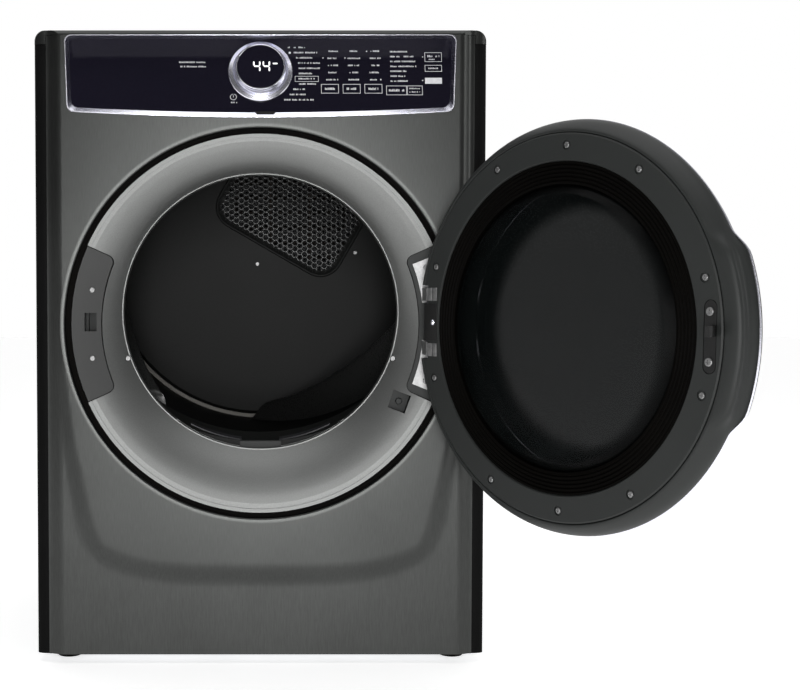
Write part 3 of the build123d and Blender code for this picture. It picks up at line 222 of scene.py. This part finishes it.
finish = {
    "titanium": surface(
        "titanium", (0.046, 0.0475, 0.046), (0.066, 0.068, 0.066), 0.97, (0.3, 0.38), BRUSHED,
        bump=0.25, bump_mm=0.05),
    # Door ring: a paler titanium, brightened further as painted light for the light its tilted dish does not
    # catch.
    "titanium_pale_and_painted_light": surface(
        "titanium_pale_and_painted_light", (0.19, 0.194, 0.19), (0.25, 0.255, 0.25), 0.9, (0.42, 0.52), (700, 700, 700),
        bump=0.2, bump_mm=0.05),
    "titanium_dark": surface(
        "titanium_dark", (0.010, 0.0105, 0.010), (0.015, 0.0155, 0.015), 0.2, (0.36, 0.46), BRUSHED,
        bump=0.25, bump_mm=0.05),
    # Near-black side panels: painted shade, much darker than the titanium the real sides have.
    "side_painted_shade": surface(
        "side_painted_shade", (0.002, 0.002, 0.002), (0.0045, 0.0045, 0.0045), 0.0, (0.45, 0.58), BRUSHED,
        bump=0.25, bump_mm=0.05, shine=0.06),
    "dark_plastic": surface(
        "dark_plastic", (0.014, 0.0155, 0.015), (0.022, 0.024, 0.023), 0.0, (0.42, 0.55), FINE,
        bump=0.3, bump_mm=0.06, shine=0.3),
    "black_plastic": surface(
        "black_plastic", (0.006, 0.006, 0.006), (0.014, 0.014, 0.014), 0.0, (0.35, 0.5), (700, 700, 700),
        shine=0.3),
    # The drum's own dark grey, darkened further as painted shade for the shade inside the drum.
    "drum_grey": surface(
        "drum_grey", (0.008, 0.0085, 0.008), (0.013, 0.0135, 0.013), 0.0, (0.4, 0.55), (260, 260, 260),
        bump=0.2, shine=0.15),
    "vane_plastic": surface(
        "vane_plastic", (0.022, 0.0225, 0.022), (0.032, 0.0325, 0.032), 0.0, (0.22, 0.34), (500, 500, 500),
        bump=0.2),
    "galvanised": surface(
        "galvanised", (0.36, 0.37, 0.38), (0.58, 0.59, 0.61), 1.0, (0.3, 0.5), (60, 60, 60),
        blotch=22.0, bump=0.1),
    "bright_trim": surface(
        "bright_trim", (0.78, 0.78, 0.86), (0.9, 0.9, 0.98), 1.0, (0.2, 0.3), (60, 900, 900),
        bump=0.12, bump_mm=0.03),
    "console_glass": surface(
        "console_glass", (0.006, 0.0055, 0.011), (0.009, 0.008, 0.015), 0.0, (0.1, 0.18), (300, 300, 300),
        bump=0.02, shine=0.14),
    "zinc": surface(
        "zinc", (0.2, 0.2, 0.2), (0.36, 0.36, 0.36), 0.9, (0.35, 0.5), (160, 160, 160),
        blotch=60.0, bump=0.3),
    "seal_rubber": surface(
        "seal_rubber", (0.0012, 0.0011, 0.001), (0.003, 0.0025, 0.002), 0.0, (0.5, 0.6), (600, 600, 600),
        bump=0.3, shine=0.03),
    "felt": surface(
        "felt", (0.28, 0.27, 0.25), (0.5, 0.48, 0.44), 0.0, (0.9, 1.0), FINE,
        bump=0.9, bump_mm=0.5),
    "circuit_board": surface("circuit_board", (0.015, 0.07, 0.03), (0.03, 0.13, 0.05), 0.0, (0.4, 0.5)),
    "element_wire": surface("element_wire", (0.02, 0.016, 0.014), (0.05, 0.04, 0.035), 0.9, (0.45, 0.7)),
    "motor_steel": surface("motor_steel", (0.02, 0.02, 0.022), (0.05, 0.05, 0.055), 0.4, (0.4, 0.55)),
    "mesh": surface(
        "mesh", (0.03, 0.03, 0.03), (0.08, 0.08, 0.08), 0.2, (0.5, 0.7), (1400, 1400, 1400),
        bump=0.8),
    "print": surface("print", (0.62, 0.62, 0.64), (0.8, 0.8, 0.82), 0.0, (0.5, 0.6)),
    "lens": surface("lens", (0.4, 0.4, 0.42), (0.6, 0.6, 0.62), 0.0, (0.1, 0.2), coat=0.5),
    "tinted_glass": glass_finish(
        # the first colour, a little lighter than the border, is painted light for light seen through the
        # glass
        "tinted_glass", (0.003, 0.004, 0.004), (0.0015, 0.0015, 0.0015),
        Vector(swung(0, DOOR_FACE_Y, RING_Z)) * MM, GLASS_R * MM, 0.64),
}

# Nodes whose look differs from the rest of their material slot. The side panels' near-black is painted
# shade, and the door ring's lighter titanium is partly painted light.
SPECIAL_LOOKS = {
    # painted shade on both side panels
    "side_left": "side_painted_shade",
    "side_right": "side_painted_shade",
    # the door ring's lighter titanium: partly its own paler tone, partly painted light
    "door_ring": "titanium_pale_and_painted_light",
    "latch_plate": "titanium_dark",
    "moisture_bars": "motor_steel",
    "heater_box": "motor_steel",
    "drum_light": "lens",
    "display_disc": "console_glass",
}


# ---------------- mesh helpers ----------------

class Shape:
    """Points and faces gathered from several small solids."""

    def __init__(self):
        self.verts = []
        self.faces = []

    def add(self, verts, faces):
        """Add one solid, whose faces are numbered from its own first point."""
        first = len(self.verts)
        self.verts += verts
        self.faces += [tuple(first + v for v in face) for face in faces]


def shade(mesh, angle):
    """Smooth shading, with edges sharper than this angle kept sharp."""
    mesh.shade_smooth()
    mesh.set_sharp_from_angle(angle=math.radians(angle))


def face_outward(mesh, join=False):
    """Turn every face outward, joining points that fall together if asked."""
    work = bmesh.new()
    work.from_mesh(mesh)
    if join:
        bmesh.ops.remove_doubles(work, verts=work.verts, dist=1e-6)
    bmesh.ops.recalc_face_normals(work, faces=work.faces)
    work.to_mesh(mesh)
    work.free()


def new_object(name, verts, faces):
    """A new object in the scene from points in mm and faces."""
    mesh = bpy.data.meshes.new(name)
    mesh.from_pydata([Vector(v) * MM for v in verts], [], faces)
    made = bpy.data.objects.new(name, mesh)
    bpy.context.scene.collection.objects.link(made)
    return made


def piece_from(name, verts, faces, body, slot, replaces=(), look=None, sharp=33):
    """A new piece from points in mm and faces, riding on a body."""
    made = new_object(name, verts, faces)
    made.data.validate()
    face_outward(made.data, join=True)
    shade(made.data, sharp)
    made.data.materials.append(look or finish[slot])
    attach(made, body)
    if replaces:
        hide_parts(*replaces)
    return made


def cutter_from(verts, faces):
    """A closed mesh that is only used to cut another."""
    made = new_object("cutter", verts, faces)
    face_outward(made.data)
    return made


def cut(piece, sharp, *cutters):
    """Subtract closed meshes from a piece and keep the result as its mesh."""
    for cutter in cutters:
        change = piece.modifiers.new("cut", "BOOLEAN")
        change.operation = "DIFFERENCE"
        change.solver = "EXACT"
        change.object = cutter
    graph = bpy.context.evaluated_depsgraph_get()
    baked = bpy.data.meshes.new_from_object(piece.evaluated_get(graph))
    piece.modifiers.clear()
    piece.data = baked
    for cutter in cutters:
        bpy.data.objects.remove(cutter)
    shade(baked, sharp)


def smooth(value):
    """A soft step from 0 to 1."""
    value = min(1.0, max(0.0, value))
    return value * value * (3 - 2 * value)


def circle(u, v, radius, steps):
    """Points round a circle, as pairs."""
    turns = [2 * math.pi * k / steps for k in range(steps)]
    return [(u + radius * math.cos(t), v + radius * math.sin(t)) for t in turns]


def cut_corners(points, passes, keep=0.25):
    """Round a closed loop of points by cutting its corners."""
    for _ in range(passes):
        rounded = []
        for k, a in enumerate(points):
            b = points[(k + 1) % len(points)]
            rounded.append(tuple(p + (q - p) * keep for p, q in zip(a, b)))
            rounded.append(tuple(p + (q - p) * (1 - keep) for p, q in zip(a, b)))
        points = rounded
    return points


def grid_faces(rows, columns, wrap_rows=False, wrap_columns=False):
    """Quads over a grid of points stored row by row."""
    faces = []
    for i in range(rows if wrap_rows else rows - 1):
        for j in range(columns if wrap_columns else columns - 1):
            a = i * columns + j
            b = i * columns + (j + 1) % columns
            c = ((i + 1) % rows) * columns + (j + 1) % columns
            d = ((i + 1) % rows) * columns + j
            faces.append((a, b, c, d))
    return faces


def prism(points, y0, y1):
    """A closed cutter between two depths from an (x, z) outline."""
    count = len(points)
    verts = [(x, y0, z) for x, z in points] + [(x, y1, z) for x, z in points]
    faces = [tuple(range(count)), tuple(range(2 * count - 1, count - 1, -1))]
    faces += [(k, k + count, (k + 1) % count + count, (k + 1) % count) for k in range(count)]
    return cutter_from(verts, faces)


def turned(profile, steps, shape=None):
    """Turn a closed (radius, y) profile about the ring's axis; shape may move each point as it goes."""
    verts = []
    for k in range(steps):
        angle = 2 * math.pi * k / steps
        for r, y in profile:
            reach = shape(r, y, angle) if shape else r
            verts.append((reach * math.cos(angle), y, RING_Z + reach * math.sin(angle)))
    return verts, grid_faces(steps, len(profile), True, True)


# ---------------- front panel ----------------

def pad_half(z):
    """Half the width of the raised front at a height."""
    for (z0, w0), (z1, w1) in zip(PAD_EDGE, PAD_EDGE[1:]):
        if z <= z1:
            return w0 + (w1 - w0) * max(0.0, z - z0) / (z1 - z0)
    return PAD_EDGE[-1][1]


def front_depth(x, z):
    """How far forward the pressed front is: rounded at the cabinet's sides, with a pad raised further."""
    slope = 11 + 22 * smooth((450 - z) / 300)  # the pad's sides slope more gently near its foot
    side = smooth((pad_half(z) - abs(x)) / slope + 0.5)
    rise = smooth((z - PAD_FOOT - PAD_BOW * (x / PAD_BOW_X) ** 4) / PAD_RISE + 0.5)
    rounded = smooth((ROUND_X - abs(x)) / ROUNDING)
    share = rounded * (1 - PAD_SHARE + PAD_SHARE * side * rise)
    return SKIRT_Y + (FRONT_Y - SKIRT_Y) * share


def frame_loop(grow):
    """The console frame's outline in the front, with a bowed foot and rounded corners."""
    low = 841.2 - grow
    middle = 833.3 - grow
    top = 956.9 + grow
    corner = 11.0
    foot_end = 291.8 + grow - corner
    top_end = 295.4 + grow - corner
    right = []
    for k in range(25):
        x = foot_end * k / 24
        right.append((x, middle + (low - middle) * (x / foot_end) ** 2))
    for k in range(1, 9):
        t = math.pi / 2 * k / 8
        right.append((foot_end + corner * math.sin(t), low + corner - corner * math.cos(t)))
    for k in range(9):
        t = math.pi / 2 * k / 8
        right.append((top_end + corner * math.cos(t), top - corner + corner * math.sin(t)))
    left = [(-x, z) for x, z in reversed(right) if x > 0]
    return right + left


def rim_of(rows, columns):
    """The points round the edge of a grid, in order."""
    rim = list(range(columns))
    rim += [i * columns + columns - 1 for i in range(1, rows)]
    rim += [(rows - 1) * columns + j for j in range(columns - 2, -1, -1)]
    rim += [i * columns for i in range(rows - 2, 0, -1)]
    return rim


def front_sheet():
    """The pressed front: a thin sheet with openings for the door's ring and the console."""
    columns = 132
    rows = 190
    count = rows * columns
    verts = []
    for layer in (0.0, SHEET):
        for i in range(rows):
            z = PANEL_LOW + (PANEL_TOP - PANEL_LOW) * i / (rows - 1)
            for j in range(columns):
                x = -PANEL_HALF + 2 * PANEL_HALF * j / (columns - 1)
                verts.append((x, front_depth(x, z) + layer, z))
    near = grid_faces(rows, columns)
    far = [tuple(v + count for v in reversed(face)) for face in near]
    rim = rim_of(rows, columns)
    edge = [(a, b, b + count, a + count) for a, b in zip(rim, rim[1:] + rim[:1])]
    sheet = piece_from(
        "front_sheet", verts, near + far + edge, "cabinet", "titanium", ["front_panel"], sharp=50)
    ring_hole = prism(circle(0, RING_Z, RECESS_R + 3, 240), FRONT_Y - 40, FRONT_Y + 60)
    console_hole = prism(frame_loop(0.4)[::-1], FRONT_Y - 40, FRONT_Y + 60)
    cut(sheet, 50, ring_hole, console_hole)


def front_lip():
    """The folded lip of the front round the door's ring."""
    back_y = FRONT_Y + 29
    profile = [
        (RECESS_R + 7.5, -360.05), (RECESS_R + 2.5, -360.0), (RECESS_R + 1.1, -359.5),
        (RECESS_R + 0.3, -358.6), (RECESS_R, -357.2), (RECESS_R, back_y), (RECESS_R + 1.3, back_y),
        (RECESS_R + 1.3, -357), (RECESS_R + 2.9, -358.6), (RECESS_R + 7.5, -358.7)]
    verts, faces = turned(profile, 240)
    piece_from("front_lip", verts, faces, "cabinet", "titanium", ["front_panel"], sharp=60)


# ---------------- door ----------------

def grip_share(angle):
    """How much of the handle's swelling there is at an angle round the shut door."""
    off = abs(angle - math.pi)
    return smooth((GRIP_HALF - off) / GRIP_FADE)


def grip_reach(r, y, angle):
    """Swell the door's edge on the handle side, with a finger hollow under its lip."""
    depth = DOOR_FACE_Y - y
    off_lip = abs(depth - 19)
    share = grip_share(angle)
    swell = GRIP_SWELL * share * smooth((r - 257.3) / 9)
    hollow = GRIP_HOLLOW * share * smooth(1 - off_lip / 15) * smooth((r - 250) / 16)
    return r + swell - hollow


def line_reach(r, y, angle):
    """Follow the swelling with the bright line on the door's edge."""
    return r + GRIP_SWELL * grip_share(angle)


def door_piece(name, profile, slot, shape, replaces=(), sharp=33):
    """A turned piece of the door, from (radius, depth) points behind its inside face."""
    verts, faces = turned([(r, DOOR_FACE_Y - depth) for r, depth in profile], 288, shape)
    verts = [swung(*v) for v in verts]
    return piece_from(name, verts, faces, "door", slot, replaces, sharp=sharp)


def hinge_notch():
    """The cutter that frees the door's edge round the hinge."""
    corners = [(-17, 472), (40, 472), (40, 580), (-17, 580)]
    depths = (HINGE_Y - 32, DOOR_FACE_Y + 5)
    verts = [swung(HINGE_X + dx, y, z) for y in depths for dx, z in corners]
    return cutter_from(verts, BLOCK_FACES)


def door_outer():
    """The door's domed shell, with its handle and the notch for the hinge."""
    profile = [
        (257.2, 0.8), (262, 1.6), (DOOR_R - 4, 12), (DOOR_R, 22), (DOOR_R, 28), (DOOR_R - 2, 35), (268, 43),
        (262, 48), (244, 58), (222, 64), (204, 65), (203.9, 61.5), (221, 60.5), (241, 54.8), (258.5, 45.4),
        (DOOR_R - 6, 32.5), (DOOR_R - 5, 22), (DOOR_R - 9, 15), (257.4, 4.6)]
    shell = door_piece("door_outer", cut_corners(profile, 2), "dark_plastic", grip_reach, ["door_shell"], 60)
    cut(shell, 50, hinge_notch())


def door_edge_line():
    """The thin bright line round the door's widest edge."""
    profile = [(274.6, 27.2), (275.6, 27.6), (275.7, 29.4), (274.8, 30.0), (273.8, 28.6)]
    door_piece("door_edge_line", profile, "bright_trim", line_reach)


def door_block(name, x, y, z, slot, bevel):
    """A small block on the door's inside face, from its ranges on the shut door, with rounded edges."""
    corners = [(x[0], z[0]), (x[1], z[0]), (x[1], z[1]), (x[0], z[1])]
    verts = [swung(a, depth, b) for depth in y for a, b in corners]
    block = piece_from(name, verts, BLOCK_FACES, "door", slot)
    work = bmesh.new()
    work.from_mesh(block.data)
    bmesh.ops.bevel(work, geom=work.edges[:], offset=bevel * MM, segments=3, profile=0.6, affect="EDGES")
    work.to_mesh(block.data)
    work.free()
    shade(block.data, 40)


def bridge_screw():
    """The pan-head screw of the hinge's bridge."""
    radius = 4.2
    height = 2.2
    steps = 24
    x, y, z = 230.5, -366.8, 525.4
    profile = [
        (0.001, height), (radius * 0.35, height), (radius * 0.75, height * 0.82), (radius, height * 0.3),
        (radius, 0.0), (0.001, 0.0)]
    verts = []
    for k in range(steps):
        angle = 2 * math.pi * k / steps
        verts += [swung(x + r * math.cos(angle), y + h, z + r * math.sin(angle)) for r, h in profile]
    faces = grid_faces(steps, len(profile), True, True)
    piece_from("hinge_bridge_screw", verts, faces, "door", "zinc", look=finish["bright_trim"])


def hinge_leaves():
    """The plates, bridge and screw beside the hinge on the door's inside face."""
    raised = (-368.2, -366.4)
    for label, low, high in (("top", 557, 576), ("low", 476, 495)):
        door_block("hinge_leaf_" + label, (231.8, 241.5), raised, (low, high), "zinc", 0.5)
        door_block("hinge_lip_" + label, (222.0, 230.6), raised, (low, high), "zinc", 0.5)
    door_block("hinge_bridge", (222.0, 248.5), (-368.2, -366.8), (499, 553), "black_plastic", 0.4)
    bridge_screw()


# ---------------- drum ----------------

def vane_mesh(start):
    """One lifting vane: a smooth ridge that climbs round the drum wall from back to front."""
    stations = 48
    across = 21
    y_back = 202.0
    y_front = -235.0
    wall = DRUM_INNER - 0.05
    verts = []
    for i in range(stations):
        t = i / (stations - 1)
        swell = math.sin(math.pi * (0.12 + 0.76 * t))
        angle = start + VANE_TURN * t
        height = (16 + 46 * swell) * 0.985
        foot = 4 + 6.0 * swell
        for j in range(across):
            s = -1 + 2 * j / (across - 1)
            r = wall - height * (1 - abs(s) ** 1.7) ** 1.15
            a = math.radians(angle + foot * s)
            verts.append((r * math.cos(a), y_back + (y_front - y_back) * t, DRUM_Z + r * math.sin(a)))
    last = (stations - 1) * across
    faces = grid_faces(stations, across)
    faces.append(tuple(range(across)))
    faces.append(tuple(last + j for j in reversed(range(across))))
    for i in range(stations - 1):
        near = i * across
        far = near + across
        faces.append((near, far, far + across - 1, near + across - 1))
    return verts, faces


def lifting_vanes():
    """The three vanes on the drum's wall."""
    vanes = Shape()
    for start in VANE_STARTS:
        vanes.add(*vane_mesh(start))
    piece_from("lifting_vanes", vanes.verts, vanes.faces, "drum", "vane_plastic", ["drum_vanes"], sharp=60)


# ---------------- air grille ----------------

def grille_spot(u, v, out):
    """A point of the grille from its own across and up, standing out of the back wall."""
    return (
        GRILLE_X + u * math.cos(GRILLE_TILT) + v * math.sin(GRILLE_TILT),
        GRILLE_Y - out,
        GRILLE_Z - u * math.sin(GRILLE_TILT) + v * math.cos(GRILLE_TILT))


def rounded_rect(half_u, half_v, corner, steps=12):
    """The points of a rounded rectangle."""
    loop = []
    for cu, cv, first in ((1, 1, 0), (-1, 1, 90), (-1, -1, 180), (1, -1, 270)):
        for k in range(steps + 1):
            t = math.radians(first + 90 * k / steps)
            u = cu * (half_u - corner) + corner * math.cos(t)
            v = cv * (half_v - corner) + corner * math.sin(t)
            loop.append((u, v))
    return loop


def inside_grille(u, v):
    """Whether a whole hole fits inside the grille's rounded outline."""
    over_u = max(0.0, abs(u) - (GRILLE_HALF[0] - GRILLE_CORNER))
    over_v = max(0.0, abs(v) - (GRILLE_HALF[1] - GRILLE_CORNER))
    return math.hypot(over_u, over_v) <= GRILLE_CORNER - 7.5


def grille_cell(u, v):
    """One six-sided cell of the grille with its raised round hole."""
    turns = [math.radians(30 + 30 * k) for k in range(SIDES)]
    reaches = (GRILLE_PITCH / math.sqrt(3), GRILLE_PITCH / 2)
    verts = []
    for k, t in enumerate(turns):
        reach = reaches[k % 2]
        verts.append(grille_spot(u + reach * math.cos(t), v + reach * math.sin(t), 0.9))
    for radius, out in ((4.3, 1.3), (3.7, 2.1), (3.2, 1.9), (3.1, 0.2)):
        verts += [grille_spot(u + radius * math.cos(t), v + radius * math.sin(t), out) for t in turns]
    return verts, grid_faces(5, SIDES, wrap_columns=True)


def grille_plate():
    """The pierced plate over the air inlet."""
    plate = Shape()
    for row in range(-11, 12):
        for column in range(-16, 17):
            u = (column + (row % 2) / 2) * GRILLE_PITCH
            v = row * GRILLE_PITCH * math.sin(math.radians(60))
            if inside_grille(u, v):
                plate.add(*grille_cell(u, v))
    piece_from(
        "grille_plate", plate.verts, plate.faces, "cabinet", "galvanised", ["inlet_grille"],
        look=finish["vane_plastic"], sharp=60)


def grille_rim():
    """The raised rim round the grille."""
    profile = [(0.0, 0.2), (0.0, 2.2), (-1.5, 3.6), (-4.5, 3.6), (-6.5, 2.0), (-13.0, 0.9), (-13.0, 0.3)]
    verts = []
    for grow, out in profile:
        loop = rounded_rect(GRILLE_HALF[0] + grow, GRILLE_HALF[1] + grow, GRILLE_CORNER + grow)
        verts += [grille_spot(u, v, out) for u, v in loop]
    faces = grid_faces(len(profile), len(verts) // len(profile), True, True)
    # the galvanised rim takes the drum's darkened finish, painted shade included
    piece_from(
        "grille_rim", verts, faces, "cabinet", "galvanised", ["inlet_grille"],
        look=finish["drum_grey"], sharp=60)


# ---------------- console marks ----------------

def glass_spot(u, v, out):
    """A point on the console from its across and up, standing out of the leaning glass."""
    return (
        u,
        LEAN_Y + v * math.sin(LEAN) - out * math.cos(LEAN),
        LEAN_Z + v * math.cos(LEAN) + out * math.sin(LEAN))


def open_prism(ring, low, high):
    """A flat mark from a ring of (u, v) points: its sides and its face, with no back."""
    count = len(ring)
    verts = [glass_spot(u, v, out) for out in (low, high) for u, v in ring]
    faces = [tuple(range(count, 2 * count))]
    faces += [(k, (k + 1) % count, count + (k + 1) % count, count + k) for k in range(count)]
    return verts, faces


marks = Shape()


def mark(corners):
    """One flat printed mark from its four (u, v) corners."""
    marks.add([glass_spot(u, v, out) for out in (PRINT_LOW, PRINT_HIGH) for u, v in corners], BLOCK_FACES)


def bar(u0, u1, v0, v1):
    """An upright rectangular mark."""
    mark([(u0, v0), (u1, v0), (u1, v1), (u0, v1)])


def caption(u, v, width, height=2.4):
    """A row of small strokes that stands for a printed word."""
    gap = 0.65
    at = u
    while at < u + width - 0.6:
        stroke = random.uniform(0.9, 1.7)
        if random.random() > 0.14:
            tall = height * random.choice((1.0, 1.0, 0.72))
            bar(at, min(at + stroke, u + width), v - height / 2, v - height / 2 + tall)
        at += stroke + gap


def outline(u0, u1, v0, v1, line=0.7):
    """A key drawn as an outline."""
    bar(u0, u1, v1 - line, v1)
    bar(u0, u1, v0, v0 + line)
    bar(u0, u0 + line, v0 + line, v1 - line)
    bar(u1 - line, u1, v0 + line, v1 - line)


def dot(u, v, radius=1.0):
    """A round indicator."""
    marks.add(*open_prism(circle(u, v, radius, SIDES), PRINT_LOW, -0.05))


def cycle_labels():
    """The labels that fan out beside the dial."""
    starts = (42, 51, 54.5, 57.5, 58.5, 58.5, 58, 54.5, 50, 44.5, 36)
    widths = (26, 36, 25, 33, 32, 21, 27, 30, 20, 24, 46)
    for k, (start, width) in enumerate(zip(starts, widths)):
        caption(start, 112.2 - 8.64 * k, width)
    outline(52.5, 88.5, 55.4, 64.6, 0.6)
    dot(44.8, 103.2, 1.9)


def setting_columns():
    """Three columns of settings, each with its key below, and their indicators."""
    widths = (18, 14, 17, 12, 19)
    for left in (95.5, 128.5, 161.5):
        for k in range(5):
            wide = widths[(k + int(left)) % 5]
            caption(left + 14 - wide / 2, 106 - 11.8 * k, wide)
        outline(left - 3.4, left + 23.4, 36.2, 51.4)
        caption(left + 2.5, 43.8, 15, 3.6)
    dot(95.6, 94.6)
    dot(129.1, 94.6)
    dot(162.2, 105.6)


def option_column():
    """The list of options and its two keys."""
    for k, width in enumerate((27, 36, 38, 41, 24, 23, 30)):
        caption(198, 105.1 - 8.1 * k, width)
    outline(191, 222, 33.4, 48.8)
    caption(195, 41.2, 23, 3.6)
    outline(222.6, 246, 33.4, 48.8)
    caption(226, 44.2, 16, 2.0)
    caption(226, 38.6, 16, 2.0)


def end_keys():
    """The keys at the right end, and their indicators."""
    outline(250.6, 276.8, 88.2, 103.8)
    caption(255, 97.6, 18, 3.2)
    caption(257, 92.2, 13, 1.8)
    outline(250.4, 276.4, 72.0, 82.8)
    caption(254, 77.4, 18, 2.2)
    bar(250.2, 275.8, 52.0, 61.8)
    dot(247.6, 96.3)
    dot(246.5, 57.4)


def power_key():
    """The usual open circle with a line through its gap, and its label."""
    u, v = -40.9, 30.3
    inner, outer = 4.3, 5.1
    steps = 18
    for k in range(steps):
        t0 = math.radians(100 + 340 * k / steps)
        t1 = math.radians(100 + 340 * (k + 1) / steps)
        polar = ((inner, t0), (inner, t1), (outer, t1), (outer, t0))
        mark([(u + r * math.cos(t), v + r * math.sin(t)) for r, t in polar])
    bar(-41.25, -40.55, 29.6, 33.4)
    caption(-46.4, 21.4, 11.5, 2.0)


def console_marks():
    """Everything printed on the console, as one piece."""
    cycle_labels()
    setting_columns()
    option_column()
    end_keys()
    caption(-126, 87.6, 43)
    caption(-122, 80.4, 39)
    power_key()
    piece_from("console_marks", marks.verts, marks.faces, "cabinet", "console_glass", look=finish["print"])


def frame_notch():
    """The dark notch in the foot of the console's frame."""
    corners = [(-8, 6.2), (-4, -0.6), (19, -0.6), (23, 6.2)]
    verts = [glass_spot(u, v, out) for out in (-0.3, 1.3) for u, v in corners]
    piece_from("frame_notch", verts, BLOCK_FACES, "cabinet", "black_plastic")


def segment(u0, v0, u1, v1):
    """One lit segment of the display between two points, with pointed ends."""
    half = 0.95
    along = Vector((u1 - u0, v1 - v0)).normalized()
    side = Vector((-along.y, along.x)) * half
    a = Vector((u0, v0)) + along * 0.5
    b = Vector((u1, v1)) - along * 0.5
    ring = [
        a, a + along * half + side, b - along * half + side,
        b, b - along * half - side, a + along * half - side]
    return open_prism([(p.x, p.y) for p in ring], DISPLAY_LOW, DISPLAY_HIGH)


def display_digits():
    """The two lit digits and the dash in the middle of the dial."""
    wide = 9.0
    lit = Shape()
    for left in (-10.0, 4.5):
        lit.add(*segment(left, 80.5, left, 72.5))
        lit.add(*segment(left, 72.0, left + wide, 72.0))
        lit.add(*segment(left + wide, 80.5, left + wide, 72.5))
        lit.add(*segment(left + wide, 71.5, left + wide, 63.5))
    lit.add(*segment(18.0, 76.5, 26.5, 76.5))
    glow = surface("display_light", (0.8, 0.8, 0.82), (0.95, 0.95, 0.97), 0.0, (0.4, 0.5))
    piece_from("display_digits", lit.verts, lit.faces, "cabinet", "dark_plastic", look=glowing(glow, 1.2))


# ---------------- stage, light and camera ----------------

def pale_floor():
    """A plain floor that gives off a little light of its own."""
    far = FLOOR_HALF / MM
    corners = [(-far, -far, 0), (far, -far, 0), (far, far, 0), (-far, far, 0)]
    floor = new_object("floor", corners, [(0, 1, 2, 3)])
    pale = surface(
        "floor_pale", (0.86, 0.86, 0.86), (0.9, 0.9, 0.9), 0.0, (0.6, 0.7), (20, 20, 20), bump=0.0)
    floor.data.materials.append(glowing(pale, 0.6))


def studio_world():
    """White surroundings behind the object that fade to dark in front of it."""
    scene = bpy.context.scene
    scene.world = scene.world or bpy.data.worlds.new("world")
    scene.world.use_nodes = True
    sky = scene.world.node_tree
    background = sky.nodes["Background"]
    place = node(sky, "ShaderNodeTexCoord")
    split = node(sky, "ShaderNodeSeparateXYZ")
    fade = range_node(sky, (-0.1, 0.8), (0.09, 1.0), soft=True)
    sky.links.new(place.outputs["Generated"], split.inputs[0])
    sky.links.new(split.outputs["Y"], fade.inputs["Value"])
    sky.links.new(fade.outputs["Result"], background.inputs["Color"])
    background.inputs["Strength"].default_value = 1.0


def soft_light(name, place, target, size, power):
    """A rectangular studio light aimed at a point, in metres and watts."""
    data = bpy.data.lights.new(name, "AREA")
    data.shape = "RECTANGLE"
    data.size = size[0]
    data.size_y = size[1]
    data.energy = power
    light = bpy.data.objects.new(name, data)
    bpy.context.scene.collection.objects.link(light)
    light.location = place
    light.rotation_euler = (Vector(target) - Vector(place)).to_track_quat("-Z", "Y").to_euler()


def front_camera():
    """The camera, straight in front and tipped a little down, framing the open door as well."""
    data = bpy.data.cameras.new("camera")
    data.sensor_width = 36
    data.lens = 59.3325
    data.shift_x = 0.1745
    camera = bpy.data.objects.new("camera", data)
    bpy.context.scene.collection.objects.link(camera)
    camera.location = (0, -2.36, 0.566)
    camera.rotation_euler = (math.radians(90 - 2.19), 0, 0)
    bpy.context.scene.camera = camera
    bpy.context.scene.view_settings.view_transform = "Standard"


def dress_nodes():
    """Give every CAD node its finish and smooth shading."""
    for part in frame["record"]["subparts"]:
        name = part["node"]
        mesh = nodes[name].data
        mesh.materials.clear()
        mesh.materials.append(finish[SPECIAL_LOOKS.get(name, part["material_slot"])])
        shade(mesh, 33)


dress_nodes()
front_sheet()
front_lip()
door_outer()
door_edge_line()
hinge_leaves()
lifting_vanes()
grille_plate()
grille_rim()
console_marks()
frame_notch()
display_digits()
pale_floor()
studio_world()
soft_light("front_box", (0.0, -3.3, 0.62), (0, -0.3, 0.5), (0.42, 1.2), 34)
soft_light("high_box", (0.2, -0.9, 3.2), (0.2, -0.4, 0), (3.2, 2.4), 40)
soft_light("right_box", (3.2, -1.6, 1.4), (0.5, -0.6, 0.5), (0.7, 1.8), 14)
front_camera()
